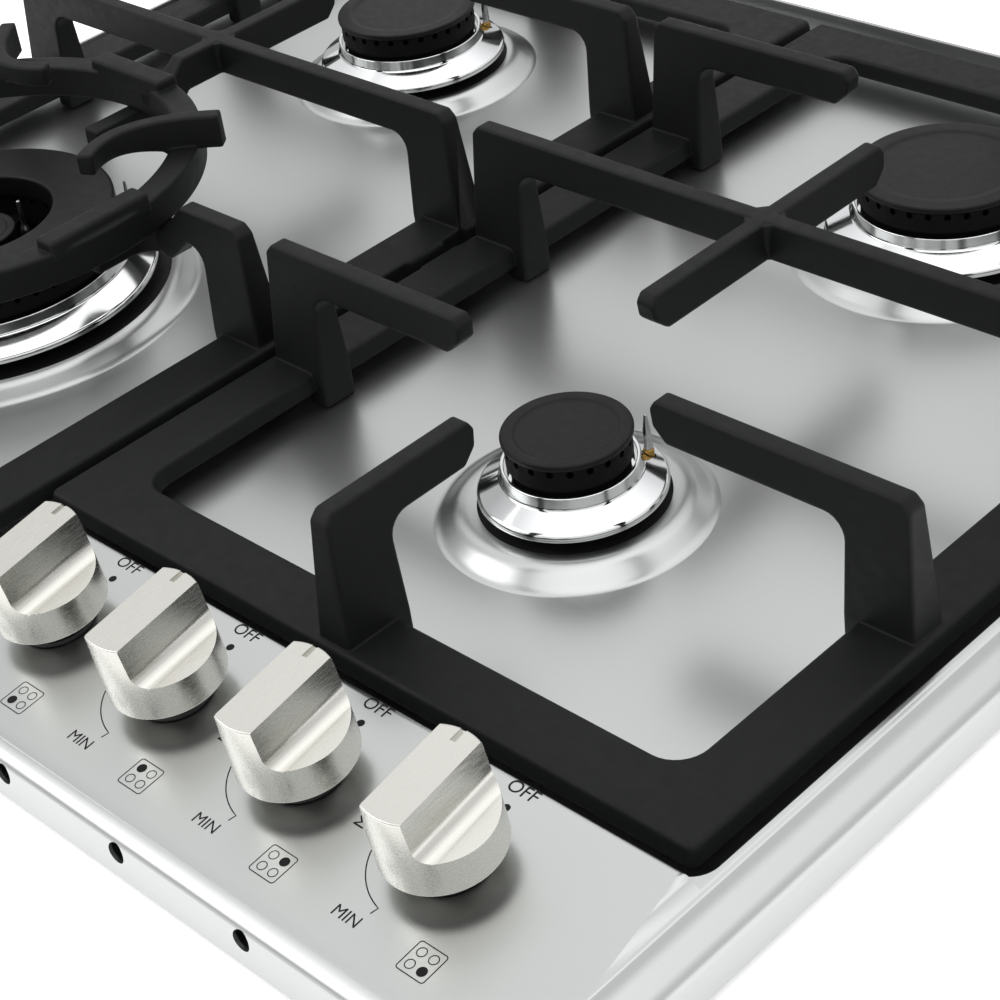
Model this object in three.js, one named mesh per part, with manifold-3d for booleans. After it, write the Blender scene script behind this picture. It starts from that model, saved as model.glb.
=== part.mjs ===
// Built-in four-burner gas cooktop, in millimetres, +Z up, standing on its bottom tray.
// X runs to the right along the front edge, Y runs to the rear, the origin is under the middle.

import * as THREE from 'three';
import { mergeVertices } from 'three/addons/utils/BufferGeometryUtils.js';
import Module from 'manifold-3d';

const wasm = await Module();
wasm.setup();

// ---------------------------------------------------------------- driving dimensions

const clearance = 0.3; // between pieces that touch
const roundSteps = 16; // facets of the burner pieces
const cornerSteps = 3; // facets of a rounded corner

// Pressed steel top
const plateWidth = 580;
const plateDepth = 504;
const plateCorner = 14;
const sheet = 1.2;
const worktopZ = 46; // height of the tray below the worktop
const gasketThickness = 2;
const skirtHeight = 12.7; // straight part of the rim's outer wall
const flangeRise = 4.5; // outer sloping flange, up to the groove
const flangeWidth = 8;
const rimRise = 2.5; // raised rim inside the groove
const rimOuterInset = 10.5;
const rimInset = 13; // inner edge of the rim, where the well starts
const wellDepth = 10; // below the rim
const wellDraft = 3;
const wellCorner = 9;

// Control panel, a raised wedge at the front right
const panelLeft = 10;
const panelBehindKnobs = 30.6; // rear edge of the panel behind the knob row
const panelRise = 4; // its rear edge above the rim
const panelSlope = 0.11;
const panelEndDraft = 7;
const panelEdgeRound = 6;

// Row of air holes in the front wall
const airHoleRadius = 3.2;
const airHolePitch = 51.4;
const airHoleCount = 10;
const airHoleFirst = -220;
const airHoleBelowRim = 10;

// Bottom tray
const trayWidth = 552;
const trayDepth = 476;
const trayCorner = 10;
const traySheet = 1.2;
const trayLip = 9;
const gasketWidth = 7;
const gasketInset = 2;

// Knobs, taps and gas rail, square to the sloping panel
const knobPitch = 54.8;
const firstKnobX = 58;
const knobRowInset = 31.4; // behind the tray's front wall
const knobRestAngle = 4; // play at OFF, in degrees
const knobLift = 7; // underside above the panel
const knobRadius = 17.3;
const knobShelf = 18;
const knobTop = 32.5;
const knobTopRadius = 16.8;
const gripWidth = 13;
const gripFillet = 5;
const knobHollowRadius = 13.6;
const knobHollowTop = 14;
const knobBossRadius = 5.4;
const knobBossBottom = 8;
const bezelRadius = 11.5;
const bezelThickness = 1.4;
const bezelCollarRadius = 8.5;
const bezelCollarTop = 6;
const stemRadius = 3;
const stemTop = 19;
const stemHoleRadius = 6;
const pressTravel = 3.5;
const plugTop = -13;
const plugLength = 20;
const plugTopRadius = 7.5;
const plugBottomRadius = 5.5;
const tapWidth = 22;
const tapLength = 26;
const tapWall = 4;
const railSize = 16;
const railRearInset = 24; // from the tray's rear wall to the inlet
const railSideInset = 18;
const inletRadius = 10.5;
const inletBore = 7;
const pipeRadius = 4;
const pipeOutletRise = 13; // outlet above the foot of the tap
const pipeZ = 38;
const pipeSteps = 10;
const pipeRoutes = [
  { sideways: 1, through: [[40, -140]] },
  { sideways: 1, through: [[70, -115], [-20, 20]] },
  { sideways: -1, through: [[95, -115], [88, 60]] },
  { sideways: 1, through: [[212, -110]] },
];

// Burners: radii of cap, trim ring, hole and raised boss at each place, and the number of flame ports
const burnerColumn = 136;
const frontRightY = -67.5;
const rearBurnerY = 126.3;
const wokBurnerY = -95;
const burners = [
  { name: 'front_right', x: burnerColumn, y: frontRightY, cap: 20.6, ring: 29.7, hole: 30.3, boss: 43, ports: 12 },
  { name: 'rear_right', x: burnerColumn, y: rearBurnerY, cap: 32, ring: 42.5, hole: 43.1, boss: 55, ports: 14 },
  { name: 'rear_left', x: -burnerColumn, y: rearBurnerY, cap: 29, ring: 39, hole: 39.6, boss: 50, ports: 14 },
  { name: 'front_left', x: -burnerColumn, y: wokBurnerY, cap: 53, ring: 64, hole: 68, boss: 77, ports: 16, innerCap: 15 },
];
const bossRise = 5; // raised round each burner, above the well
const bossDraft = 7;
const cupBottom = 22;
const cupWall = 3;
const cupFlange = 1.4; // flange below the boss, beyond its hole
const cupFlangeDepth = 3;
const ringLip = 5.6; // outer edge of the trim ring above the boss
const ringRise = 4; // cone of the trim ring
const ringCollar = 4.5;
const ringSheet = 1.2;
const headHeight = 8.4;
const wokChannel = 31.5; // open middle of the wok burner's outer trough
const wokCapHeight = 8.7;
const wokCapWall = 3;
const spigotDepth = 13.6;
const headWall = 4;
const headFit = 0.4;
const capOverhang = 1;
const capThickness = 2.2;
const capRecess = 0.6;
const portSize = 2.8;
const portHeight = 4.2;
const igniterRadius = 1.7;
const igniterAngle = 58;
const igniterOffset = 4; // beyond the cap

// Cast pan supports
const grateGap = 1.5; // half of the split between the two
const grateSideGap = 6.5; // from the well's wall
const grateRearGap = 11;
const grateFrontGap = 6.5; // behind the control panel
const leftGrateFront = -230;
const barWidth = 23;
const barHeight = 6.5;
const notchDepth = 2.2; // two notches in the edges where the pan supports meet
const notchFrontY = -18.6;
const notchFrontLength = 15.6;
const notchRearY = 13.4;
const notchRearLength = 12.3;
const barDraft = 1.6;
const barCorner = 6;
const barInnerCorner = 9;
const grateLift = 6; // underside of the frame above the well
const crossY = 29.4;
const supportHeight = 43.5; // finger tops above the frame
const fingerDepth = 13;
const ribBaseWidth = 13;
const ribTopWidth = 6.4;
const legInner = 27;
const legOuterLean = 7;
const ledgeSlope = 12; // run over which a finger falls to its ledge
const footWidth = 9;
const tipRadius = 38.5; // finger tips from the burner's middle

// Wok ring, resting on the lowered finger ends of the left pan support
const wokRingOuter = 89.5;
const wokRingInner = 79;
const wokRingHeight = 11.5;
const wokLedgeDrop = 11; // below the finger tops
const wokLedgeDepth = 11;
const wokLedgeEnd = 58;
const wokSaddleLength = 42; // raised straight bars over the four ledges
const wokSaddleWidth = 9;
const wokSaddleRise = 3.5;
const wokArmWidth = 6;
const wokArmReach = 99;
const wokArmTip = 60;
const wokArmHeight = 11;

// Electrical pieces in the tray
const moduleSize = [70, 45, 24];
const moduleX = -40;
const moduleInset = 33; // middle of the module behind the tray's front wall
const terminalSize = [46, 34, 26];
const terminalInset = 51; // middle of the box from the tray's left wall
const glandRadius = 8;
const clampWidth = 22;
const clampHeight = 30;
const clampThickness = 2;
const clampReach = 12;
const clampSheetTop = 40;

// ---------------------------------------------------------------- derived levels

const skirtBottomZ = worktopZ + gasketThickness + clearance;
const flangeZ = skirtBottomZ + skirtHeight;
const grooveZ = flangeZ + flangeRise;
const rimZ = grooveZ + rimRise;
const wellZ = rimZ - wellDepth;
const panelZ = rimZ + panelRise;
const bossZ = wellZ + bossRise;
const frontY = -plateDepth / 2;
const knobRowY = -trayDepth / 2 + knobRowInset;
const panelRear = knobRowY + panelBehindKnobs;
const rightGrateFront = panelRear + grateFrontGap;
const panelRight = plateWidth / 2 - rimOuterInset;
const tilt = Math.atan(panelSlope);
const knobX = [0, 1, 2, 3].map((index) => firstKnobX + index * knobPitch);
const knobBurner = ['front_left', 'rear_left', 'rear_right', 'front_right'];
const railRearY = trayDepth / 2 - railRearInset;
const railSideX = trayWidth / 2 - railSideInset;
const terminalX = -trayWidth / 2 + terminalInset;
const tapBottom = plugTop - plugLength - tapWall;
const railMiddle = tapBottom - clearance - railSize / 2;
const grateBottomZ = wellZ + grateLift;
const grateTopZ = grateBottomZ + barHeight;
const fingerZ = grateTopZ + supportHeight;
const ringEdgeZ = bossZ + ringLip;
const ringConeZ = ringEdgeZ + ringRise;
const ringTopZ = ringConeZ + ringCollar;
const capZ = ringTopZ + headHeight;
const wokCapTop = capZ + wokCapHeight;
const wokRestZ = fingerZ - wokLedgeDrop;
const wokZ = wokRestZ + clearance;

// ---------------------------------------------------------------- geometry helpers

/** A closed solid from a three.js geometry: shared corners merged, empty triangles dropped. */
function solid(geometry) {
  const bare = geometry.clone();
  bare.deleteAttribute('normal');
  bare.deleteAttribute('uv');
  const merged = mergeVertices(bare, 1e-4);
  const corners = merged.index.array;
  const kept = [];
  for (let at = 0; at < corners.length; at += 3) {
    const [a, b, c] = [corners[at], corners[at + 1], corners[at + 2]];
    if (a !== b && b !== c && c !== a) kept.push(a, b, c);
  }
  const points = merged.getAttribute('position');
  if (volume(points, kept) < 0) kept.reverse();
  const mesh = new wasm.Mesh({
    numProp: 3,
    vertProperties: new Float32Array(points.array),
    triVerts: new Uint32Array(kept),
  });
  return new wasm.Manifold(mesh);
}

/** Six times the signed volume inside a list of triangles. */
function volume(points, corners) {
  const [a, b, c] = [new THREE.Vector3(), new THREE.Vector3(), new THREE.Vector3()];
  let sum = 0;
  for (let at = 0; at < corners.length; at += 3) {
    a.fromBufferAttribute(points, corners[at]);
    b.fromBufferAttribute(points, corners[at + 1]);
    c.fromBufferAttribute(points, corners[at + 2]);
    sum += a.dot(b.cross(c));
  }
  return sum;
}

function joined(...parts) {
  return parts.reduce((whole, part) => whole.add(part));
}

function block(x0, x1, y0, y1, z0, z1) {
  const geometry = new THREE.BoxGeometry(x1 - x0, y1 - y0, z1 - z0);
  geometry.translate((x0 + x1) / 2, (y0 + y1) / 2, (z0 + z1) / 2);
  return solid(geometry);
}

function rod(radius, z0, z1, x = 0, y = 0, steps = 16, topRadius = radius) {
  const geometry = new THREE.CylinderGeometry(topRadius, radius, z1 - z0, steps);
  geometry.rotateX(Math.PI / 2);
  geometry.translate(x, y, (z0 + z1) / 2);
  return solid(geometry);
}

/** A profile of [radius, z] points turned round the Z axis; a ring's profile closes on itself. */
function turned(profile, steps = roundSteps) {
  const onAxis = profile[0][0] === 0 && profile.at(-1)[0] === 0;
  const points = onAxis ? profile : [...profile, profile[0]];
  const geometry = new THREE.LatheGeometry(points.map(([r, z]) => new THREE.Vector2(r, z)), steps);
  geometry.rotateX(Math.PI / 2);
  return solid(geometry);
}

/** A flat outline of [u, v] points, extruded along +Z from z0 to z1. */
function prism(points, z0, z1) {
  const shape = new THREE.Shape(points.map(([u, v]) => new THREE.Vector2(u, v)));
  const geometry = new THREE.ExtrudeGeometry(shape, { depth: z1 - z0, bevelEnabled: false });
  geometry.translate(0, 0, z0);
  return solid(geometry);
}

/** An outline of [y, z] points, extruded along X from x0 to x1. */
function prismX(points, x0, x1) {
  return prism(points, x0, x1).rotate([90, 0, 90]);
}

/** An outline of [x, z] points, extruded along Y from y0 to y1. */
function prismY(points, y0, y1) {
  return prism(points, -y1, -y0).rotate([90, 0, 0]);
}

/** Square-cornered outline, moved inwards by an inset, with its corners rounded. */
function outline(corners, radius, inset = 0) {
  const points = [];
  corners.forEach((corner, index) => {
    const before = corners.at(index - 1);
    const after = corners[(index + 1) % corners.length];
    const into = new THREE.Vector2(corner[0] - before[0], corner[1] - before[1]).normalize();
    const out = new THREE.Vector2(after[0] - corner[0], after[1] - corner[1]).normalize();
    const convex = into.cross(out) > 0;
    const round = Math.max(radius + (convex ? -inset : inset), 0.5);
    const shifted = new THREE.Vector2(...corner)
      .add(new THREE.Vector2(-into.y, into.x).multiplyScalar(inset))
      .add(new THREE.Vector2(-out.y, out.x).multiplyScalar(inset));
    const middle = shifted.clone().addScaledVector(into, -round).addScaledVector(out, round);
    for (let step = 0; step <= cornerSteps; step += 1) {
      const angle = (step / cornerSteps) * Math.PI / 2;
      const point = middle.clone()
        .addScaledVector(out, -round * Math.cos(angle))
        .addScaledVector(into, round * Math.sin(angle));
      points.push(point);
    }
  });
  return points;
}

function rectangle(x0, x1, y0, y1) {
  return [[x0, y0], [x1, y0], [x1, y1], [x0, y1]];
}

/** A pressed or cast form: one outline, stacked at each [inset, z] of its profile. */
function pressed(corners, radius, profile) {
  const rings = profile.map(([inset, z]) => outline(corners, radius, inset)
    .map((point) => new THREE.Vector3(point.x, point.y, z)));
  const count = rings[0].length;
  const index = [];
  for (let level = 0; level + 1 < rings.length; level += 1) {
    for (let step = 0; step < count; step += 1) {
      const next = (step + 1) % count;
      const [a, b] = [level * count + step, level * count + next];
      index.push(a, b, b + count, a, b + count, a + count);
    }
  }
  const flat = (ring) => ring.map((point) => new THREE.Vector2(point.x, point.y));
  const last = (rings.length - 1) * count;
  for (const [a, b, c] of THREE.ShapeUtils.triangulateShape(flat(rings[0]), [])) index.push(c, b, a);
  for (const [a, b, c] of THREE.ShapeUtils.triangulateShape(flat(rings.at(-1)), [])) {
    index.push(last + a, last + b, last + c);
  }
  const geometry = new THREE.BufferGeometry().setFromPoints(rings.flat());
  geometry.setIndex(index);
  return solid(geometry);
}

/** A band of even width along a flat curve, from z0 to z1. */
function band(curve, width, z0, z1, steps = 5) {
  const left = [];
  const right = [];
  for (let step = 0; step <= steps; step += 1) {
    const point = curve.getPoint(step / steps);
    const along = curve.getTangent(step / steps);
    left.push([point.x - along.y * width / 2, point.y + along.x * width / 2]);
    right.unshift([point.x + along.y * width / 2, point.y - along.x * width / 2]);
  }
  return prism([...right, ...left], z0, z1);
}

/** A tube of round section through a list of points, with straight runs and rounded bends. */
function tube(points, radius, steps) {
  const path = new THREE.CatmullRomCurve3(points.map((point) => new THREE.Vector3(...point)), false, 'catmullrom', 0.3);
  const section = new THREE.Shape(Array.from({ length: 6 }, (_, index) => {
    const angle = (index / 6) * 2 * Math.PI;
    return new THREE.Vector2(radius * Math.cos(angle), radius * Math.sin(angle));
  }));
  return solid(new THREE.ExtrudeGeometry(section, { steps, extrudePath: path, bevelEnabled: false }));
}

function polar(radius, degrees, middle = [0, 0]) {
  const angle = THREE.MathUtils.degToRad(degrees);
  return new THREE.Vector2(middle[0] + radius * Math.cos(angle), middle[1] + radius * Math.sin(angle));
}

// ---------------------------------------------------------------- scene graph

const cooktop = new THREE.Group();
cooktop.name = 'gas_cooktop';

const finish = {
  steel: { color: 0xc9cac8, roughness: 0.38, metalness: 1 },
  zinc: { color: 0xb4b6b5, roughness: 0.5, metalness: 0.9 },
  chrome: { color: 0xe4e6e8, roughness: 0.08, metalness: 1 },
  nickel: { color: 0xd8d4cb, roughness: 0.3, metalness: 0.9 },
  brass: { color: 0xb8964f, roughness: 0.35, metalness: 1 },
  aluminium: { color: 0xa9abac, roughness: 0.55, metalness: 0.9 },
  iron: { color: 0x2e2f30, roughness: 0.75, metalness: 0.1 },
  enamel: { color: 0x202124, roughness: 0.45, metalness: 0 },
  plastic: { color: 0x151517, roughness: 0.5, metalness: 0 },
  rubber: { color: 0x222222, roughness: 0.9, metalness: 0 },
  ceramic: { color: 0xe9e6dc, roughness: 0.4, metalness: 0 },
};

function place(name, look, part, group = cooktop) {
  const { vertProperties, triVerts } = part.getMesh();
  const geometry = new THREE.BufferGeometry();
  geometry.setAttribute('position', new THREE.BufferAttribute(new Float32Array(vertProperties), 3));
  geometry.setIndex(new THREE.BufferAttribute(new Uint32Array(triVerts), 1));
  geometry.computeVertexNormals();
  const mesh = new THREE.Mesh(geometry, new THREE.MeshStandardMaterial({ ...finish[look] }));
  mesh.name = name;
  group.add(mesh);
  return mesh;
}

// ---------------------------------------------------------------- pressed top

/** The space under the top's surface, moved inwards by an offset; two of them make the sheet. */
function underTop(offset) {
  const edge = rectangle(-plateWidth / 2, plateWidth / 2, frontY, plateDepth / 2);
  const shell = pressed(edge, plateCorner, [
    [offset, skirtBottomZ + offset],
    [offset, flangeZ - 1.5],
    [offset + 0.8, flangeZ - offset * 0.5],
    [flangeWidth + offset * 0.4, grooveZ - offset],
    [rimOuterInset + offset * 0.4, rimZ - offset],
    [rimInset + 3, rimZ - offset],
  ]);
  const plan = pressed(edge, plateCorner, [[offset, skirtBottomZ + offset], [offset, panelZ + 9]]);
  const body = shell.subtract(overPanel(offset)).add(panelWedge(offset).intersect(plan));
  const well = pressed(wellCorners(), wellCorner, [
    [wellDraft - offset, wellZ - offset],
    [-offset, rimZ - offset],
    [-offset, panelZ + 2],
  ]);
  const bosses = burners.map((burner) => turned([
    [0, wellZ - sheet - 2],
    [burner.boss - offset, wellZ - sheet - 2],
    [burner.boss - offset, wellZ - offset],
    [burner.boss - bossDraft - offset * 0.5, bossZ - offset],
    [0, bossZ - offset],
  ]).translate([burner.x, burner.y, 0]));
  return bosses.reduce((whole, boss) => whole.add(boss), body.subtract(well));
}

function wellCorners() {
  const side = plateWidth / 2 - rimInset;
  const rear = plateDepth / 2 - rimInset;
  return [[-side, -rear], [panelLeft, -rear], [panelLeft, panelRear], [side, panelRear], [side, rear], [-side, rear]];
}

/** The control panel's surface line from its rear edge to the front wall, as [y, z] points. */
function panelLine(offset) {
  const surface = (y) => panelHeight(y) - offset;
  const [rear, front] = [panelRear - offset, frontY + offset];
  const bend = frontY + panelEdgeRound;
  return [
    [rear, panelZ - offset - 1.5],
    [rear - 0.6, panelZ - offset - 0.3],
    [rear - 2, surface(rear - 2)],
    [bend, surface(bend)],
    [front + 1.6, surface(bend) - 1.6],
    [front, surface(bend) - panelEdgeRound + offset],
  ];
}

/** The space above the control panel, in which nothing of the rim may stand. */
function overPanel(offset) {
  const [rear, front] = [panelRear, frontY - 1];
  const line = panelLine(offset);
  return prismX([[rear, panelZ + 9], ...line, [front, line.at(-1)[1]], [front, panelZ + 9]], panelLeft, panelRight);
}

/** The sloping control panel: its side view, cut to its end view. */
function panelWedge(offset) {
  const line = panelLine(offset);
  const bottom = skirtBottomZ + offset;
  const side = prismX([[line.at(-1)[0], bottom], [line[0][0], bottom], ...line], panelLeft - wellDraft, panelRight);
  const ends = prismY([
    [panelLeft - wellDraft + offset, skirtBottomZ],
    [panelRight + 2 - offset, skirtBottomZ],
    [panelRight + 2 - offset, grooveZ - offset],
    [panelRight - panelEndDraft * 0.4 - offset, rimZ - offset + 1],
    [panelRight - panelEndDraft - offset, panelZ + 0.2 - offset],
    [panelLeft + 2 + offset, panelZ + 0.2 - offset],
    [panelLeft + offset, panelZ - 2 - offset],
  ], frontY, panelRear);
  return side.intersect(ends);
}

function topPlate() {
  let plate = underTop(0).subtract(underTop(sheet));
  const opening = rectangle(-plateWidth / 2, plateWidth / 2, frontY, plateDepth / 2);
  plate = plate.subtract(pressed(opening, plateCorner, [
    [gasketInset + gasketWidth + 3, skirtBottomZ - 1],
    [gasketInset + gasketWidth + 3, skirtBottomZ + sheet + 0.5],
  ]));
  for (const burner of burners) {
    plate = plate.subtract(rod(burner.hole, wellZ, bossZ + 4, burner.x, burner.y, roundSteps));
  }
  for (const x of knobX) plate = plate.subtract(onPanel(rod(stemHoleRadius, -12, 12, x, 0, 12)));
  for (let index = 0; index < airHoleCount; index += 1) {
    const hole = rod(airHoleRadius, -4, 4, 0, 0, 8).rotate([90, 0, 0]);
    plate = plate.subtract(hole.translate([airHoleFirst + index * airHolePitch, frontY, rimZ - airHoleBelowRim]));
  }
  return plate;
}

function panelHeight(y) {
  return panelZ - panelSlope * (panelRear - y);
}

/** Moves a solid drawn over the knob row, with Z square to the panel, to its place. */
function onPanel(part) {
  return part.rotate([THREE.MathUtils.radToDeg(tilt), 0, 0]).translate([0, knobRowY, panelHeight(knobRowY)]);
}

// ---------------------------------------------------------------- tray, gasket and clamps

function bottomTray() {
  const edge = rectangle(-trayWidth / 2, trayWidth / 2, -trayDepth / 2, trayDepth / 2);
  const top = wellZ - sheet - clearance;
  const outer = pressed(edge, trayCorner, [[1.5, 0], [0, 1.5], [0, top]]);
  const inner = pressed(edge, trayCorner, [[traySheet, traySheet], [traySheet, top - traySheet]]);
  const mouth = pressed(edge, trayCorner, [[trayLip, top - traySheet - 1], [trayLip, top + 1]]);
  const lead = rod(inletRadius + 2, -1, traySheet + 1, railSideX - 8, railRearY, 14);
  const gland = rod(glandRadius, -4, 4, 0, 0, 16).rotate([90, 0, 0])
    .translate([terminalX, trayDepth / 2, traySheet + clearance + terminalSize[2] / 2]);
  return outer.subtract(inner).subtract(mouth).subtract(lead).subtract(gland);
}

function worktopGasket() {
  const edge = rectangle(-plateWidth / 2, plateWidth / 2, frontY, plateDepth / 2);
  const outer = pressed(edge, plateCorner, [[gasketInset, worktopZ], [gasketInset, worktopZ + gasketThickness]]);
  const inner = pressed(edge, plateCorner, [
    [gasketInset + gasketWidth, worktopZ - 1],
    [gasketInset + gasketWidth, worktopZ + gasketThickness + 1],
  ]);
  return outer.subtract(inner);
}

/** A bent steel clamp, screwed to the tray's side wall, that holds the worktop from below. */
function clampBracket() {
  const half = clampWidth / 2;
  const bottom = clampSheetTop - clampHeight;
  const wall = block(0, clampThickness, -half, half, bottom, clampSheetTop);
  const foot = block(0, clampReach, -half, half, bottom, bottom + clampThickness);
  const tongue = block(clampReach - clampThickness, clampReach, -half, half, bottom, bottom + 8);
  const slot = rod(2.6, -1, clampThickness + 1, 0, 0, 10).rotate([0, 90, 0]).translate([0, 0, clampSheetTop - 10]);
  return joined(wall, foot, tongue).subtract(slot);
}

// ---------------------------------------------------------------- gas rail, taps and knobs

function railPoints() {
  const y = knobRowY + railMiddle * -Math.sin(tilt);
  const z = panelHeight(knobRowY) + railMiddle * Math.cos(tilt);
  return { y, z };
}

function gasRail() {
  const half = railSize / 2;
  const across = block(firstKnobX - 24, railSideX + half, -half, half, railMiddle - half, railMiddle + half);
  const { y, z } = railPoints();
  const back = block(railSideX - half, railSideX + half, y, railRearY + 20, z - half, z + half);
  return onPanel(across).add(back);
}

function gasInlet() {
  const { z } = railPoints();
  const top = z - railSize / 2 - clearance;
  const nipple = rod(inletRadius, clearance, top, railSideX - 8, railRearY, 14);
  const nut = rod(inletRadius + 3, traySheet + clearance, traySheet + 4, railSideX - 8, railRearY, 6);
  const bore = rod(inletBore, -1, top - 2, railSideX - 8, railRearY, 12);
  return nipple.add(nut).subtract(bore);
}

function tapBody() {
  const half = tapWidth / 2;
  const barrel = block(-half, half, -half, half, tapBottom, plugTop + 1);
  const neck = rod(plugTopRadius + 3, plugTop - 1, plugTop + 4, 0, 0, 12);
  const outlet = rod(pipeRadius + 2, 0, tapLength - half, 0, 0, 8).rotate([-90, 0, 0])
    .translate([0, 0, tapBottom + pipeOutletRise]);
  const seat = rod(plugBottomRadius + clearance, plugTop - plugLength - clearance, plugTop, 0, 0, 12, plugTopRadius + clearance);
  const throat = rod(plugTopRadius + clearance, plugTop - 0.01, plugTop + 6, 0, 0, 12);
  return joined(barrel, neck, outlet).subtract(seat).subtract(throat);
}

function tapPlug() {
  const cone = rod(plugBottomRadius, plugTop - plugLength, plugTop, 0, 0, 12, plugTopRadius);
  const socket = rod(stemRadius + clearance, plugTop - 14, plugTop + 1, 0, 0, 8);
  const key = block(-1, 1, -stemRadius - 2.4, stemRadius + 2.4, plugTop - 14, plugTop + 1);
  return cone.subtract(socket).subtract(key);
}

/** The spindle: round, with a drive pin across its foot and a flat on its top end. */
function controlStem() {
  const shaft = rod(stemRadius, plugTop - 9, stemTop, 0, 0, 8);
  const pin = block(-0.7, 0.7, -stemRadius - 1.8, stemRadius + 1.8, plugTop - 9, plugTop - 6);
  const flat = block(-stemRadius - 1, stemRadius + 1, stemRadius - 1, stemRadius + 1, bezelCollarTop, stemTop + 1);
  return shaft.add(pin).subtract(flat);
}

function knobBezel() {
  return turned([
    [stemHoleRadius + 0.5, clearance],
    [bezelRadius, clearance],
    [bezelRadius, bezelThickness - 0.6],
    [bezelRadius - 0.6, bezelThickness],
    [bezelCollarRadius, bezelThickness],
    [bezelCollarRadius, bezelCollarTop],
    [stemHoleRadius + 0.5, bezelCollarTop],
  ], 12);
}

function knob() {
  const body = turned([
    [0, knobLift],
    [knobRadius - 0.5, knobLift],
    [knobRadius, knobLift + 0.5],
    [knobRadius - 0.4, knobShelf],
    [knobTopRadius, knobTop - 1],
    [knobTopRadius - 0.8, knobTop],
    [0, knobTop],
  ], 18);
  const half = gripWidth / 2;
  const fillet = [];
  for (let step = 0; step <= 3; step += 1) {
    const angle = Math.PI + (step / 3) * Math.PI / 2;
    fillet.push([half + 0.8 + gripFillet * (1 + Math.cos(angle)), knobShelf + 0.6 + gripFillet * (1 + Math.sin(angle))]);
  }
  const cut = [[half, knobTop + 1], ...fillet, [knobRadius + 1, knobShelf - 0.4], [knobRadius + 1, knobTop + 1]];
  const side = prismY(cut, -knobRadius - 1, knobRadius + 1);
  const other = prismY(cut.map(([x, z]) => [-x, z]).reverse(), -knobRadius - 1, knobRadius + 1);
  const mark = block(-0.6, 0.6, knobTopRadius - 5, knobTopRadius + 1, knobTop - 0.9, knobTop + 1);
  const hollow = rod(knobHollowRadius, knobLift - 1, knobHollowTop, 0, 0, 10);
  const boss = rod(knobBossRadius, knobBossBottom, knobHollowTop + 0.5, 0, 0, 10);
  const bore = rod(stemRadius + clearance, knobBossBottom - 1, stemTop + 0.5, 0, 0, 8);
  const key = block(-stemRadius - 1, stemRadius + 1, stemRadius - 1 + clearance, stemRadius + 1, knobBossBottom - 1, stemTop + 2);
  const socket = bore.subtract(key);
  return body.subtract(side).subtract(other).subtract(mark).subtract(hollow).add(boss).subtract(socket);
}

// ---------------------------------------------------------------- burners

function neckRadius(burner) {
  return burner.cap - headWall - 1.5;
}

function igniterPlace(burner) {
  return polar(burner.cap + igniterOffset, igniterAngle, [burner.x, burner.y]);
}

/** The cup under a burner: gas inlet below the top, flange under the boss, neck up through its hole. */
function burnerCup(burner) {
  const neck = neckRadius(burner);
  const seat = ringConeZ - ringSheet - clearance;
  const under = bossZ - sheet - clearance;
  const flange = burner.hole + cupFlange;
  const cup = turned([
    [0, cupBottom],
    [neck, cupBottom],
    [neck, under - cupFlangeDepth],
    [flange, under - cupFlangeDepth],
    [flange, under],
    [neck, under],
    [neck, seat],
    [neck - cupWall, seat],
    [neck - cupWall, cupBottom + 8],
    [0, cupBottom + 8],
  ]);
  const pin = igniterPlace(burner);
  const hole = rod(igniterRadius + clearance, under - cupFlangeDepth - 1, under + 1, pin.x - burner.x, pin.y - burner.y, 6);
  return cup.subtract(hole);
}

/** The bright flared ring: an inner seat on the cup's neck, a collar and a sloping skirt. */
function trimRing(burner) {
  const collar = burner.cap + 1;
  const ring = turned([
    [neckRadius(burner) - cupWall, ringConeZ - ringSheet],
    [collar - ringSheet, ringConeZ - ringSheet],
    [burner.ring - 0.5, ringEdgeZ - ringSheet],
    [burner.ring, ringEdgeZ],
    [collar, ringConeZ],
    [collar, ringTopZ - clearance],
    [collar - ringSheet, ringTopZ - clearance],
    [collar - ringSheet, ringConeZ],
    [neckRadius(burner) - cupWall, ringConeZ],
  ]);
  const pin = igniterPlace(burner);
  return ring.subtract(rod(igniterRadius + 0.9, ringEdgeZ - 6, ringTopZ, pin.x - burner.x, pin.y - burner.y, 10));
}

/** The burner head: a round trough with a row of flame ports and a spigot into the cup. */
function burnerHead(burner) {
  const outer = burner.cap - capOverhang;
  const spigot = neckRadius(burner) - cupWall - headFit;
  const head = turned([
    [spigot - 2.5, ringConeZ - spigotDepth],
    [spigot, ringConeZ - spigotDepth],
    [spigot, ringTopZ - ringCollar + clearance],
    [outer - 1.2, ringTopZ - ringCollar + clearance],
    [outer - 1.2, ringTopZ],
    [outer, ringTopZ + 0.8],
    [outer, capZ - clearance],
    [outer - headWall, capZ - clearance],
    [outer - headWall, ringTopZ],
    [spigot - 2.5, ringTopZ],
  ]);
  return cutPorts(head, burner.ports, outer, capZ);
}

function cutPorts(head, count, radius, top) {
  let cut = head;
  for (let index = 0; index < count; index += 1) {
    const port = block(radius - headWall - 1, radius + 1, -portSize / 2, portSize / 2, top - portHeight, top + 1);
    cut = cut.subtract(port.rotate([0, 0, (index + 0.5) * 360 / count]));
  }
  return cut;
}

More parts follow.
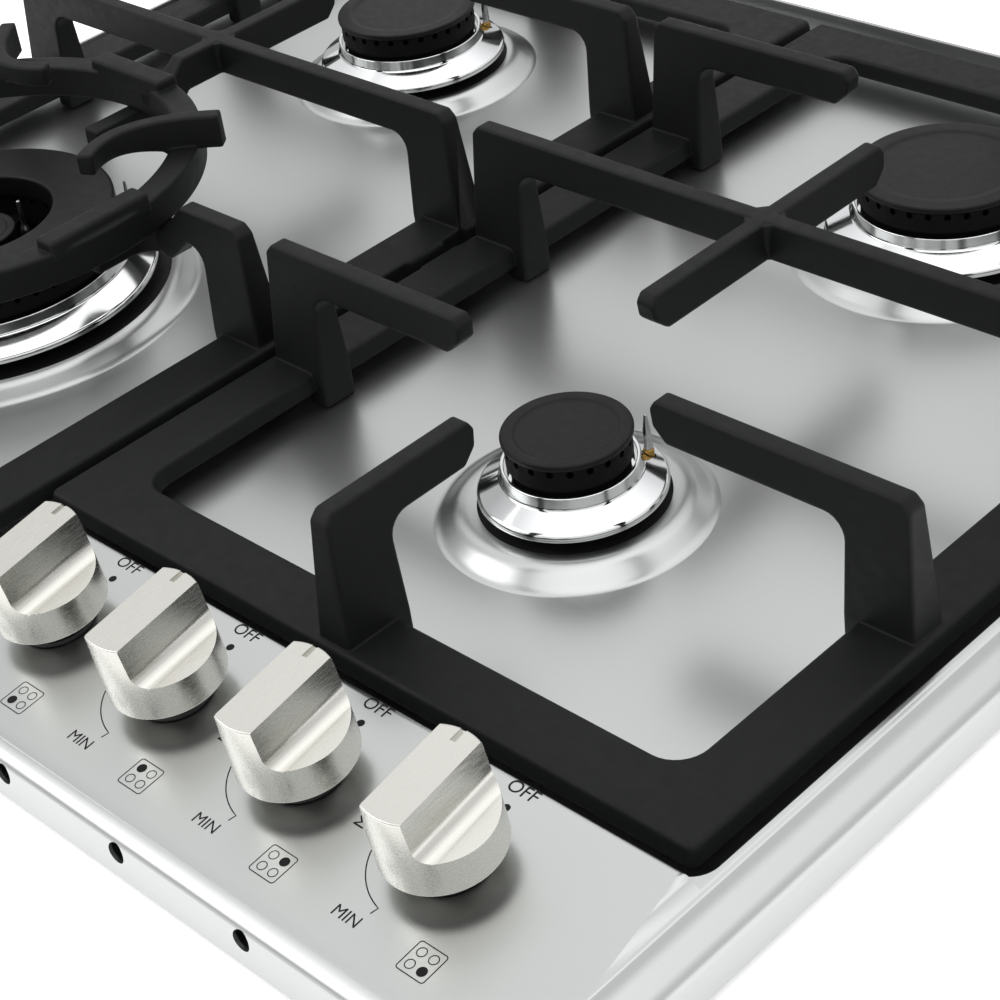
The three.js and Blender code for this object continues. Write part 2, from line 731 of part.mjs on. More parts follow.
/** The wok burner's head: the outer trough, three bridges and the small inner trough. */
function wokHead(burner) {
  const outer = burner.cap - capOverhang;
  const spigot = neckRadius(burner) - cupWall - headFit;
  const channel = wokChannel;
  const ring = turned([
    [spigot - 2.5, ringConeZ - spigotDepth],
    [spigot, ringConeZ - spigotDepth],
    [spigot, ringTopZ - ringCollar + clearance],
    [outer - 1.2, ringTopZ - ringCollar + clearance],
    [outer - 1.2, ringTopZ],
    [outer, ringTopZ + 0.8],
    [outer, capZ - clearance],
    [outer - headWall, capZ - clearance],
    [outer - headWall, ringTopZ],
    [channel + headWall, ringTopZ],
    [channel + headWall, capZ - clearance],
    [channel, capZ - clearance],
    [channel, ringTopZ - ringCollar + clearance],
    [spigot - 2.5, ringTopZ - ringCollar + clearance],
  ]);
  const hub = turned([
    [0, ringTopZ - ringCollar],
    [burner.innerCap - 0.4, ringTopZ - ringCollar],
    [burner.innerCap - 0.4, capZ - clearance],
    [burner.innerCap - headWall, capZ - clearance],
    [burner.innerCap - headWall, ringTopZ],
    [0, ringTopZ],
  ], 16);
  const bridge = block(burner.innerCap - 2, channel + 2, -3, 3, ringTopZ - ringCollar + 1, ringTopZ);
  const bridges = [0, 120, 240].map((angle) => bridge.rotate([0, 0, angle]));
  const ports = cutPorts(ring, burner.ports, outer, capZ);
  return joined(ports, cutPorts(hub, 6, burner.innerCap, capZ), ...bridges);
}

/** A flat enamelled cap with a rounded edge, a shallow recess and a locating plug below. */
function burnerCap(radius, rim, steps = roundSteps) {
  return turned([
    [0, capZ - 2.5],
    [rim, capZ - 2.5],
    [rim, capZ],
    [radius, capZ],
    [radius, capZ + capThickness - 0.8],
    [radius - 1, capZ + capThickness],
    [radius * 0.8, capZ + capThickness],
    [radius * 0.78, capZ + capThickness - capRecess],
    [0, capZ + capThickness - capRecess],
  ], steps);
}

/** The wok burner's outer cap: a deep ring with rounded edges, hollow below. */
function wokCap(burner) {
  const inner = wokChannel - 1.5;
  const wall = wokCapWall;
  return turned([
    [burner.cap - wall, capZ],
    [burner.cap, capZ],
    [burner.cap, wokCapTop - 1],
    [burner.cap - 1, wokCapTop],
    [inner + 1, wokCapTop],
    [inner, wokCapTop - 1],
    [inner, capZ],
    [inner + wall, capZ],
    [inner + wall, wokCapTop - wall],
    [burner.cap - wall, wokCapTop - wall],
  ]);
}

/** A spark electrode: steel tip, ceramic body, and the foot below the cup's flange. */
function igniter(burner) {
  const foot = bossZ - sheet - 2 * clearance - cupFlangeDepth;
  const tip = burner.innerCap ? wokCapTop : capZ + 2.5;
  const pin = igniterPlace(burner);
  const body = turned([
    [0, foot - 22],
    [1.2, foot - 22],
    [1.2, foot - 14],
    [igniterRadius + 0.9, foot - 14],
    [igniterRadius + 0.9, foot],
    [igniterRadius, foot],
    [igniterRadius, ringTopZ],
    [0.8, ringTopZ + 1],
    [0.8, tip],
    [0, tip],
  ], 6);
  return body.translate([pin.x, pin.y, 0]);
}

// ---------------------------------------------------------------- pan supports

/** A rib seen from its side as [run, z] points, thinner at the top as castings are. */
function rib(points) {
  const runs = points.map(([run]) => run);
  const side = prismY(points, -ribBaseWidth / 2, ribBaseWidth / 2);
  const [wide, thin] = [ribBaseWidth / 2, ribTopWidth / 2];
  const draft = prismX([
    [-wide, wellZ],
    [wide, wellZ],
    [wide, grateTopZ],
    [thin + 0.3, fingerZ - 1.4],
    [thin - 0.9, fingerZ],
    [-thin + 0.9, fingerZ],
    [-thin - 0.3, fingerZ - 1.4],
    [-wide, grateTopZ],
  ], Math.min(...runs) - 1, Math.max(...runs) + 1);
  return side.intersect(draft);
}

/** The leg's side view: foot on the well, leaning outer edge, fillet under the finger. */
function legOutline() {
  const fillet = [];
  for (let step = 0; step <= 3; step += 1) {
    const angle = (step / 3) * Math.PI / 2;
    fillet.push([legInner + 6 * (1 - Math.sin(angle)), fingerZ - fingerDepth - 6 * (1 - Math.cos(angle))]);
  }
  return {
    inner: fillet,
    outer: [
      [legInner, wellZ + clearance],
      [legInner - footWidth, wellZ + clearance],
      [legInner - footWidth, grateBottomZ + 0.5],
      [barDraft + 1, grateTopZ - 2],
      [barDraft + 1 + legOuterLean, fingerZ - 3],
      [barDraft + 3.5 + legOuterLean, fingerZ],
    ],
  };
}

/** A leg on the frame's bar with its finger, from the outer edge (run 0) inwards to its tip. */
function legWithFinger(tip) {
  const { inner, outer } = legOutline();
  return rib([
    ...outer,
    [tip - 2, fingerZ],
    [tip, fingerZ - 3],
    [tip - 1, fingerZ - 8.5],
    [tip - 6, fingerZ - fingerDepth],
    ...inner,
  ]);
}

/** A leg whose finger drops to a ledge, which carries the wok ring. */
function legWithLedge(drop, end) {
  const { inner, outer } = legOutline();
  return rib([
    ...outer,
    [drop - ledgeSlope, fingerZ],
    [drop, wokRestZ],
    [end, wokRestZ],
    [end, wokRestZ - wokLedgeDepth + 2],
    [end - 3, wokRestZ - wokLedgeDepth],
    [drop - 2, wokRestZ - wokLedgeDepth],
    [drop - ledgeSlope, fingerZ - fingerDepth],
    ...inner,
  ]);
}

/** The middle bar, from one side bar to the other with a leg at each end. */
function crossBar(span) {
  const { inner, outer } = legOutline();
  const half = [...outer, [span / 2, fingerZ], [span / 2, fingerZ - fingerDepth], ...inner];
  const left = rib(half);
  return left.add(left.mirror([1, 0, 0]).translate([span, 0, 0]));
}

/** A plain arm from the middle bar (run 0) to its tip. */
function arm(tip) {
  return rib([
    [0, fingerZ - fingerDepth],
    [0, fingerZ],
    [tip - 2, fingerZ],
    [tip, fingerZ - 3],
    [tip - 1, fingerZ - 8.5],
    [tip - 6, fingerZ - fingerDepth],
  ].reverse());
}

function armWithLedge(drop, end) {
  return rib([
    [0, fingerZ - fingerDepth],
    [0, fingerZ],
    [drop - ledgeSlope, fingerZ],
    [drop, wokRestZ],
    [end, wokRestZ],
    [end, wokRestZ - wokLedgeDepth],
    [drop - 2, wokRestZ - wokLedgeDepth],
    [drop - ledgeSlope, fingerZ - fingerDepth],
  ].reverse());
}

function grateFrame(x0, x1, y0, y1) {
  const outer = pressed(rectangle(x0, x1, y0, y1), barCorner, [
    [0, grateBottomZ],
    [barDraft * 0.6, grateTopZ - 1],
    [barDraft, grateTopZ],
  ]);
  const inner = pressed(rectangle(x0 + barWidth, x1 - barWidth, y0 + barWidth, y1 - barWidth), barInnerCorner, [
    [0, grateBottomZ - 1],
    [-barDraft * 0.6, grateTopZ - 1],
    [-barDraft - 0.6, grateTopZ + 1],
  ]);
  return outer.subtract(inner);
}

const side = plateWidth / 2 - rimInset - grateSideGap;
const grateRear = plateDepth / 2 - rimInset - grateRearGap;

/** Two shallow notches in the edge beside the other pan support, which the fingers of a hand can lift by. */
function liftNotches(x) {
  const notch = (y0, y1) => pressed(rectangle(x - notchDepth, x + notchDepth, y0, y1), notchDepth, [
    [0, grateBottomZ - 1],
    [0, grateTopZ + 1],
  ]);
  return notch(notchFrontY, notchFrontY + notchFrontLength).add(notch(notchRearY, notchRearY + notchRearLength));
}

/** The parts that both pan supports share: frame, middle bar and the rear cell's fingers. */
function grateBase(x0, x1, y0) {
  const reach = (x1 - x0) / 2 - tipRadius;
  const middle = (x0 + x1) / 2;
  return joined(
    grateFrame(x0, x1, y0, grateRear),
    crossBar(x1 - x0).translate([x0, crossY, 0]),
    legWithFinger(reach).translate([x0, rearBurnerY, 0]),
    legWithFinger(reach).rotate([0, 0, 180]).translate([x1, rearBurnerY, 0]),
    legWithFinger(grateRear - rearBurnerY - tipRadius).rotate([0, 0, -90]).translate([middle, grateRear, 0]),
    arm(rearBurnerY - crossY - tipRadius).rotate([0, 0, 90]).translate([middle, crossY, 0]),
  );
}

function rightGrate() {
  const reach = (side - grateGap) / 2 - tipRadius;
  return joined(
    grateBase(grateGap, side, rightGrateFront),
    legWithFinger(reach).translate([grateGap, frontRightY, 0]),
    legWithFinger(reach).rotate([0, 0, 180]).translate([side, frontRightY, 0]),
    legWithFinger(frontRightY - rightGrateFront - tipRadius).rotate([0, 0, 90])
      .translate([(grateGap + side) / 2, rightGrateFront, 0]),
    arm(crossY - frontRightY - tipRadius).rotate([0, 0, -90]).translate([(grateGap + side) / 2, crossY, 0]),
  ).subtract(liftNotches(grateGap));
}

/** The hooked end of a side finger: a low ledge that turns towards the wok burner. */
function hook(run) {
  const turn = 12;
  const path = new THREE.Path();
  path.moveTo(run, 0);
  path.absarc(run, -turn, turn, Math.PI / 2, 0, true);
  path.lineTo(run + turn, -turn - 14);
  const points = path.getPoints(5);
  const route = new THREE.SplineCurve(points);
  return band(route, ribTopWidth + 1, wokRestZ - wokLedgeDepth, wokRestZ, 7);
}

function leftGrate() {
  const [x0, x1] = [-side, -grateGap];
  const middle = (x0 + x1) / 2;
  const halfChord = Math.sqrt(wokRingOuter ** 2 - (frontRightY - wokBurnerY) ** 2);
  const hookRun = burnerColumn - grateGap - halfChord - 2;
  const hooked = legWithLedge(hookRun, hookRun + 4).add(hook(hookRun + 3));
  const frontDrop = wokBurnerY - leftGrateFront - wokRingOuter - 2;
  const rearDrop = crossY - wokBurnerY - wokRingOuter - 2;
  const ledge = wokRingOuter + 2 - wokLedgeEnd;
  return joined(
    grateBase(x0, x1, leftGrateFront),
    hooked.translate([x0, frontRightY, 0]),
    hooked.mirror([1, 0, 0]).translate([x1, frontRightY, 0]),
    legWithLedge(frontDrop, frontDrop + ledge).rotate([0, 0, 90]).translate([middle, leftGrateFront, 0]),
    armWithLedge(rearDrop, rearDrop + ledge).rotate([0, 0, -90]).translate([middle, crossY, 0]),
  ).subtract(liftNotches(-grateGap));
}

// ---------------------------------------------------------------- wok ring

/** One of the four curved arms that carry the pan, from its inner tip over the ring to its outer end. */
function wokArm(z0, z1) {
  const curve = new THREE.QuadraticBezierCurve(polar(wokArmTip, 17), polar(wokArmTip - 1, 46), polar(wokArmReach, 41.5));
  return band(curve, wokArmWidth, z0, z1, 6);
}

function wokRing() {
  const top = wokZ + wokRingHeight;
  const ring = turned([
    [wokRingInner - 1, wokZ],
    [wokRingOuter, wokZ],
    [wokRingOuter - 0.6, top - 1],
    [wokRingOuter - 1.6, top],
    [wokRingInner + 0.6, top],
    [wokRingInner - 0.4, top - 1],
  ], 24);
  const half = wokSaddleLength / 2;
  const saddle = block(wokRingInner - 1, wokRingInner - 1 + wokSaddleWidth, -half, half, wokZ + 1, top + wokSaddleRise);
  const arm = wokArm(top - 1.5, top + wokArmHeight);
  const around = [0, 90, 180, 270].flatMap((turn) => [saddle.rotate([0, 0, turn]), arm.rotate([0, 0, turn])]);
  return joined(ring, ...around);
}

// ---------------------------------------------------------------- ignition and mains inlet

function ignitionModule() {
  const [width, depth, height] = moduleSize;
  const [x, y] = [moduleX, -trayDepth / 2 + moduleInset];
  const base = traySheet + clearance;
  const box = pressed(rectangle(x - width / 2, x + width / 2, y - depth / 2, y + depth / 2), 3, [
    [0, base],
    [0, base + height - 1],
    [1, base + height],
  ]);
  const tabs = [-3, -1, 1, 3].map((step) => block(x + step * 8 - 3, x + step * 8 + 3, y + depth / 2 - 1, y + depth / 2 + 7, base + 6, base + 10));
  return joined(box, ...tabs);
}

function terminalBox() {
  const [width, depth, height] = terminalSize;
  const x = terminalX;
  const base = traySheet + clearance;
  const wall = trayDepth / 2 - traySheet - clearance;
  const box = pressed(rectangle(x - width / 2, x + width / 2, wall - depth, wall), 3, [
    [0, base],
    [0, base + height - 1],
    [1, base + height],
  ]);
  const gland = rod(glandRadius - clearance, 0, 7, 0, 0, 16).rotate([-90, 0, 0]).translate([x, wall - 1, base + height / 2]);
  const bore = rod(4, -10, 10, 0, 0, 12).rotate([-90, 0, 0]).translate([x, wall + 4, base + height / 2]);
  return box.add(gland).subtract(bore);
}

// ---------------------------------------------------------------- supply pipes

function pipeStart(index) {
  const run = tapLength + 0.3;
  const rise = tapBottom + pipeOutletRise;
  return [
    knobX[index],
    knobRowY + run * Math.cos(tilt) - rise * Math.sin(tilt),
    panelHeight(knobRowY) + run * Math.sin(tilt) + rise * Math.cos(tilt),
  ];
}

/** Each supply pipe: waypoints as [x, y, z] from its tap's outlet to the side of its cup. */
function supplyPipe(index) {
  const burner = burners.find(({ name }) => name === knobBurner[index]);
  const start = pipeStart(index);
  const lead = [start[0], start[1] + 12, start[2] + 1.3];
  const { sideways, through } = pipeRoutes[index];
  const end = neckRadius(burner) + clearance;
  return tube([
    start,
    lead,
    ...through.map(([x, y]) => [x, y, pipeZ]),
    [burner.x + sideways * (end + 14), burner.y, pipeZ],
    [burner.x + sideways * end, burner.y, pipeZ],
  ], pipeRadius, pipeSteps);
}

// ---------------------------------------------------------------- assembly

place('top_plate', 'steel', topPlate());
place('bottom_tray', 'zinc', bottomTray());
place('worktop_gasket', 'rubber', worktopGasket());

const clampY = 150;
const clampAt = { front_right: [1, -1], front_left: [-1, -1], rear_right: [1, 1], rear_left: [-1, 1] };
for (const [name, [sideways, rearwards]] of Object.entries(clampAt)) {
  const bracket = sideways > 0 ? clampBracket() : clampBracket().mirror([1, 0, 0]);
  const x = sideways * (trayWidth / 2 + clearance);
  place(`clamp_${name}`, 'zinc', bracket.translate([x, rearwards * clampY, 0]));
}

place('gas_rail', 'zinc', gasRail());
place('gas_inlet', 'brass', gasInlet());

const panel = new THREE.Group();
panel.position.set(0, knobRowY, panelHeight(knobRowY));
panel.rotation.x = tilt;
cooktop.add(panel);
knobX.forEach((x, index) => {
  const row = new THREE.Group();
  row.position.x = x;
  panel.add(row);
  const control = new THREE.Group();
  control.rotation.z = THREE.MathUtils.degToRad(knobRestAngle);
  row.add(control);
  const label = knobBurner[index];
  place(`tap_body_${label}`, 'brass', tapBody(), row);
  place(`knob_bezel_${label}`, 'plastic', knobBezel(), row);
  place(`tap_plug_${label}`, 'brass', tapPlug(), control);
  place(`control_stem_${label}`, 'zinc', controlStem(), control);
  place(`knob_${label}`, 'nickel', knob(), control);
  place(`supply_pipe_${label}`, 'aluminium', supplyPipe(index));
});

for (const burner of burners) {
  const at = new THREE.Group();
  at.position.set(burner.x, burner.y, 0);
  cooktop.add(at);
  place(`burner_cup_${burner.name}`, 'aluminium', burnerCup(burner), at);
  place(`trim_ring_${burner.name}`, 'chrome', trimRing(burner), at);
  place(`igniter_${burner.name}`, 'ceramic', igniter(burner));
  if (burner.innerCap) {
    place('burner_head_front_left', 'enamel', wokHead(burner), at);
    place('burner_cap_front_left_outer', 'enamel', wokCap(burner), at);
    place('burner_cap_front_left_inner', 'enamel', burnerCap(burner.innerCap, burner.innerCap - headWall - 0.4, 16), at);
  } else {
    place(`burner_head_${burner.name}`, 'enamel', burnerHead(burner), at);
    place(`burner_cap_${burner.name}`, 'enamel', burnerCap(burner.cap, burner.cap - capOverhang - headWall - 0.4), at);
  }
}

place('grate_right', 'iron', rightGrate());
place('grate_left', 'iron', leftGrate());
place('wok_ring', 'iron', wokRing().translate([-burnerColumn, wokBurnerY, 0]));
place('ignition_module', 'plastic', ignitionModule());
place('terminal_box', 'plastic', terminalBox());

export default cooktop;
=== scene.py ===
import math

import bmesh
import bpy
from bpy.props import FloatProperty, FloatVectorProperty
from mathutils import Matrix, Vector


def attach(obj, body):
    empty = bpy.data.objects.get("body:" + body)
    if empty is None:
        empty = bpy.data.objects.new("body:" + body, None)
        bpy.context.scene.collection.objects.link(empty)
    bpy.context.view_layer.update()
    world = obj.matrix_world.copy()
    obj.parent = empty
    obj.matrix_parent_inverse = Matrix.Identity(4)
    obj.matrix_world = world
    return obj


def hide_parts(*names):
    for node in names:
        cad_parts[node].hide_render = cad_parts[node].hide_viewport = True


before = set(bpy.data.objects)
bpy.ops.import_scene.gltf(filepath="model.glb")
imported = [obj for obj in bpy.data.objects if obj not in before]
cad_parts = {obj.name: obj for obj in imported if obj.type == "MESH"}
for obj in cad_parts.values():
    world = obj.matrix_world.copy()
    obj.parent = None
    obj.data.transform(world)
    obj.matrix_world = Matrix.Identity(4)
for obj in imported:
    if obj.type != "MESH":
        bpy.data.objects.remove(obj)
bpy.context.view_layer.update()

bl_info = {
    "name": "Gas cooktop surfaces",
    "version": (1, 0, 0),
    "blender": (4, 5, 0),
    "location": "View3D > Sidebar > Cooktop",
    "description": "Dresses a four-burner gas cooktop: steel top, burners, cast supports, knobs and prints",
    "category": "Add Mesh",
}

MM = 0.001

# Places and sizes in millimetres, in the frame of the solid model.
COLUMN = 136
FRONT_ROW, WOK_ROW, REAR_ROW = -67.5, -95, 126.3
BURNERS = {
    "front_right": {"at": (COLUMN, FRONT_ROW), "cap": 20.6, "ring": 29.7, "hole": 30.3, "boss": 43, "ports": 20},
    "rear_right": {"at": (COLUMN, REAR_ROW), "cap": 32, "ring": 42.5, "hole": 43.1, "boss": 55, "ports": 30},
    "rear_left": {"at": (-COLUMN, REAR_ROW), "cap": 29, "ring": 39, "hole": 39.6, "boss": 50, "ports": 28},
    "front_left": {"at": (-COLUMN, WOK_ROW), "cap": 53, "ring": 64, "hole": 68, "boss": 77, "ports": 46},
}
KNOBS = {"front_left": 58, "rear_left": 112.8, "rear_right": 167.6, "front_right": 222.4}
KNOB_ROW = (-206.6, 68.634)
PANEL_TILT = math.atan(0.11)
KNOB_TURN = 4  # degrees by which the knobs stand off their OFF mark


def linear(colour):
    """An sRGB hex colour as linear red, green and blue."""
    parts = [int(colour[i : i + 2], 16) / 255 for i in (1, 3, 5)]
    return tuple(c / 12.92 if c <= 0.04045 else ((c + 0.055) / 1.055) ** 2.4 for c in parts)


def length_property(name, description, length):
    return FloatProperty(name=name, description=description, default=length * MM, unit="LENGTH")


def colour_property(name, description, colour):
    return FloatVectorProperty(
        name=name, description=description, subtype="COLOR", size=3, min=0, max=1, default=linear(colour)
    )


class HobTopSettings(bpy.types.PropertyGroup):
    sheet: length_property("Sheet", "Thickness of the pressed steel", 1.2)
    edge_round: length_property("Edge round", "Radius of the outer pressed edge", 3)
    steel: colour_property("Steel", "Colour of the brushed stainless steel", "#C4C6C5")


class HobBurnerSettings(bpy.types.PropertyGroup):
    port: length_property("Port", "Width of a flame port", 2.4)
    chrome: colour_property("Chrome", "Colour of the trim rings", "#E6E7E8")
    enamel: colour_property("Enamel", "Colour of the burner caps", "#0A0A0B")


class HobCastSettings(bpy.types.PropertyGroup):
    edge_round: length_property("Edge round", "Radius of the castings' edges", 1.0)
    iron: colour_property("Iron", "Colour of the enamelled castings", "#0E0F10")


class HobKnobSettings(bpy.types.PropertyGroup):
    nickel: colour_property("Nickel", "Colour of the knobs", "#D3D2CC")
    edge_round: length_property("Edge round", "Radius of the knob's edges", 0.7)


class HobStageSettings(bpy.types.PropertyGroup):
    floor: colour_property("Floor", "Colour of the pale surface round the hob", "#F4F4F4")
    key_power: FloatProperty(name="Key", description="Power of the large soft lamp", default=9.0, unit="POWER")


GROUPS = {
    "hob_top": HobTopSettings,
    "hob_burners": HobBurnerSettings,
    "hob_castings": HobCastSettings,
    "hob_knobs": HobKnobSettings,
    "hob_stage": HobStageSettings,
}


# ------------------------------------------------------------------ materials


def node(tree, kind, inputs=None, **settings):
    """Adds a shader node with its settings; an input is a value or another node's output."""
    made = tree.nodes.new(kind)
    for key, value in settings.items():
        setattr(made, key, value)
    for key, value in (inputs or {}).items():
        if isinstance(value, bpy.types.NodeSocket):
            tree.links.new(value, made.inputs[key])
        else:
            made.inputs[key].default_value = value
    return made


def surface(name, **inputs):
    """A named material with its Principled node; returns the material, its tree and that node."""
    made = bpy.data.materials.new(name)
    made.use_nodes = True
    tree = made.node_tree
    shader = tree.nodes["Principled BSDF"]
    for key, value in inputs.items():
        socket = shader.inputs[key.replace("_", " ").capitalize() if key != "ior" else "IOR"]
        socket.default_value = value
    return made, tree, shader


def stretched(tree, scale):
    """Object coordinates in millimetres, stretched by scale."""
    place = node(tree, "ShaderNodeTexCoord").outputs["Object"]
    mapping = node(tree, "ShaderNodeMapping", {"Vector": place, "Scale": [s / MM for s in scale]})
    return mapping.outputs["Vector"]


def ranged(tree, value, start, end, low, high):
    """Lays a value's run from start to end on low to high."""
    limits = {"Value": value, "From Min": start, "From Max": end, "To Min": low, "To Max": high}
    return node(tree, "ShaderNodeMapRange", limits).outputs["Result"]


def noise(tree, vector, scale, detail):
    made = node(tree, "ShaderNodeTexNoise", {"Vector": vector, "Scale": scale, "Detail": detail})
    return made.outputs["Fac"]


def varied(tree, vector, low, high, scale=1.0):
    """A noise that runs from low to high."""
    return ranged(tree, noise(tree, vector, scale, 3), 0.3, 0.7, low, high)


def bumped(tree, shader, vector, scale, depth):
    """A bump of a noise, its depth in millimetres."""
    height = noise(tree, vector, scale, 2)
    bump = node(tree, "ShaderNodeBump", {"Height": height, "Distance": depth * MM, "Strength": 1.0})
    tree.links.new(bump.outputs["Normal"], shader.inputs["Normal"])
    return bump


def tinted(tree, shader, colour, vector, amount, scale=1.0):
    """Gives the colour a slow change in lightness of the given amount."""
    shade = varied(tree, vector, 1 - amount, 1 + amount, scale)
    mixed = node(tree, "ShaderNodeVectorMath", {0: colour[:3]}, operation="SCALE")
    tree.links.new(shade, mixed.inputs["Scale"])
    tree.links.new(mixed.outputs["Vector"], shader.inputs["Base Color"])


def brushed_stainless(scene):
    # Cold-rolled stainless sheet, brushed along X: long fine scratches that smear highlights across them.
    made, tree, shader = surface("brushed_stainless", metallic=1.0, roughness=0.3)
    lines = stretched(tree, (0.02, 3.2, 3.2))
    tinted(tree, shader, scene.hob_top.steel, lines, 0.012)
    shader.inputs["Anisotropic"].default_value = 0.3
    tree.links.new(varied(tree, lines, 0.285, 0.315), shader.inputs["Roughness"])
    bumped(tree, shader, lines, 1.0, 0.0005)
    return made


def polished_chrome(scene):
    # Chrome on pressed steel, polished: a mirror with faint hazing from handling.
    made, tree, shader = surface("polished_chrome", metallic=1.0, roughness=0.06)
    shader.inputs["Base Color"].default_value = (*scene.hob_burners.chrome, 1)
    haze = stretched(tree, (0.08, 0.08, 0.08))
    tree.links.new(varied(tree, haze, 0.06, 0.12), shader.inputs["Roughness"])
    return made


def satin_nickel(scene):
    # Nickel plate over a brushed zinc casting: fine parallel lines, warm and soft.
    made, tree, shader = surface("satin_nickel", metallic=1.0, roughness=0.27)
    lines = stretched(tree, (2.4, 0.05, 2.4))
    tinted(tree, shader, scene.hob_knobs.nickel, lines, 0.03)
    tree.links.new(varied(tree, lines, 0.22, 0.32), shader.inputs["Roughness"])
    bumped(tree, shader, lines, 1.0, 0.0008)
    return made


def cast_iron_enamel(scene):
    # Sand-cast iron under matte enamel: a fine orange peel and a dull, even black.
    made, tree, shader = surface("matte_enamelled_iron", roughness=0.5, ior=1.3)
    grain = stretched(tree, (1, 1, 1))
    tinted(tree, shader, scene.hob_castings.iron, grain, 0.06, 0.08)
    tree.links.new(varied(tree, grain, 0.5, 0.6, 0.25), shader.inputs["Roughness"])
    bump = bumped(tree, shader, grain, 1.6, 0.008)
    # Rounds the corners where one rib runs into another, as the foundry's sand does.
    rounded = node(tree, "ShaderNodeBevel", {"Radius": 1.3 * MM}, samples=6)
    tree.links.new(rounded.outputs["Normal"], bump.inputs["Normal"])
    return made


def satin_cap_enamel(scene):
    # Pressed steel caps under satin black enamel, smoother than the castings.
    made, tree, shader = surface("satin_black_enamel", roughness=0.42, ior=1.3)
    grain = stretched(tree, (1, 1, 1))
    tinted(tree, shader, scene.hob_burners.enamel, grain, 0.05, 0.1)
    tree.links.new(varied(tree, grain, 0.42, 0.5, 0.3), shader.inputs["Roughness"])
    bumped(tree, shader, grain, 1.8, 0.004)
    return made


def plain(name, colour, roughness, metallic=0.0, grain=1.0, depth=0.02, ior=1.5):
    """A finish with one colour, its grain's size and the grain's depth in millimetres."""
    made, tree, shader = surface(name, metallic=metallic, roughness=roughness, ior=ior)
    place = stretched(tree, (1, 1, 1))
    tinted(tree, shader, linear(colour), place, 0.08, 0.1)
    dull = varied(tree, place, roughness - 0.06, roughness + 0.08, 0.3)
    tree.links.new(dull, shader.inputs["Roughness"])
    bumped(tree, shader, place, grain, depth)
    return made


MATERIALS = {}


def finish(scene, name):
    """The finish of that name, made once."""
    if name not in MATERIALS:
        MATERIALS[name] = FINISHES[name](scene)
    return MATERIALS[name]


FINISHES = {
    "stainless": brushed_stainless,
    "chrome": polished_chrome,
    "nickel": satin_nickel,
    "iron": cast_iron_enamel,
    "enamel": satin_cap_enamel,
    # The same enamel on the heads, dulled and blackened where the flames stand.
    "burnt": lambda scene: plain("flame_dulled_enamel", "#080808", 0.6, grain=1.4, depth=0.006, ior=1.22),
    # Moulded nylon, lightly grained.
    "nylon": lambda scene: plain("black_nylon", "#18181A", 0.5, grain=1.5, depth=0.03),
    # Hot-dip galvanised sheet: dull zinc with a slow mottle.
    "zinc": lambda scene: plain("galvanised_sheet", "#A9ACAD", 0.5, 0.9, 0.05, 0.02),
    # Turned brass, slightly dulled.
    "brass": lambda scene: plain("turned_brass", "#B08D4C", 0.32, 1.0, 1.2, 0.01),
    # Die-cast aluminium with a fine dry skin.
    "aluminium": lambda scene: plain("cast_aluminium", "#A7A8A8", 0.48, 1.0, 0.9, 0.04),
    # The burner cups' die casting, near black as painted shade: its dark colour stands for the shadow in the gaps
    # under the trim rings.
    "painted_shade_casting": lambda scene: plain("casting_darkened_as_painted_shade", "#232322", 0.6, 0.6, 0.9, 0.03),
    # Turned steel of the spindles and electrodes.
    "steel": lambda scene: plain("turned_steel", "#B9BABB", 0.3, 1.0, 1.4, 0.01),
    # Closed-cell foam strip.
    "foam": lambda scene: plain("foam_rubber", "#26262A", 0.85, grain=0.8, depth=0.1),
    # Glazed steatite of the electrodes.
    "ceramic": lambda scene: plain("glazed_steatite", "#E4DFD2", 0.25, grain=0.6, depth=0.01),
    # Screen-printed ink, baked on.
    "ink": lambda scene: plain("baked_black_ink", "#0C0C0D", 0.55, grain=2.0, depth=0.002, ior=1.3),
}


# ------------------------------------------------------------------ modelling


def outline(corners, radius, inset=0.0, steps=8):
    """A square-cornered outline moved inwards by inset, its corners rounded."""
    points = []
    count = len(corners)
    for index in range(count):
        before, here, after = (Vector(corners[(index + k) % count]) for k in (-1, 0, 1))
        into, out = (here - before).normalized(), (after - here).normalized()
        convex = into.x * out.y - into.y * out.x > 0
        size = max(radius + (-inset if convex else inset), 0.4)
        corner = here + Vector((-into.y, into.x)) * inset + Vector((-out.y, out.x)) * inset
        middle = corner - into * size + out * size
        for step in range(steps + 1):
            angle = step / steps * math.pi / 2
            points.append(middle - out * (size * math.cos(angle)) + into * (size * math.sin(angle)))
    return points


def rectangle(x0, x1, y0, y1):
    return [(x0, y0), (x1, y0), (x1, y1), (x0, y1)]


def soften(points, sizes, steps=4):
    """A profile with each inner point rounded off; sizes gives the length taken from each side."""
    rounded = [points[0]]
    for before, here, after, size in zip(points, points[1:], points[2:], sizes):
        before, here, after = Vector(before), Vector(here), Vector(after)
        if not size:
            rounded.append(tuple(here))
            continue
        first = here + (before - here).normalized() * min(size, (before - here).length * 0.49)
        last = here + (after - here).normalized() * min(size, (after - here).length * 0.49)
        for step in range(steps + 1):
            t = step / steps
            rounded.append(tuple(first * (1 - t) ** 2 + here * 2 * t * (1 - t) + last * t**2))
    return rounded + [points[-1]]


def loop(bm, points):
    """A closed ring of edges through 3-D points."""
    verts = [bm.verts.new(point) for point in points]
    return [bm.edges.new(pair) for pair in zip(verts, verts[1:] + verts[:1])]


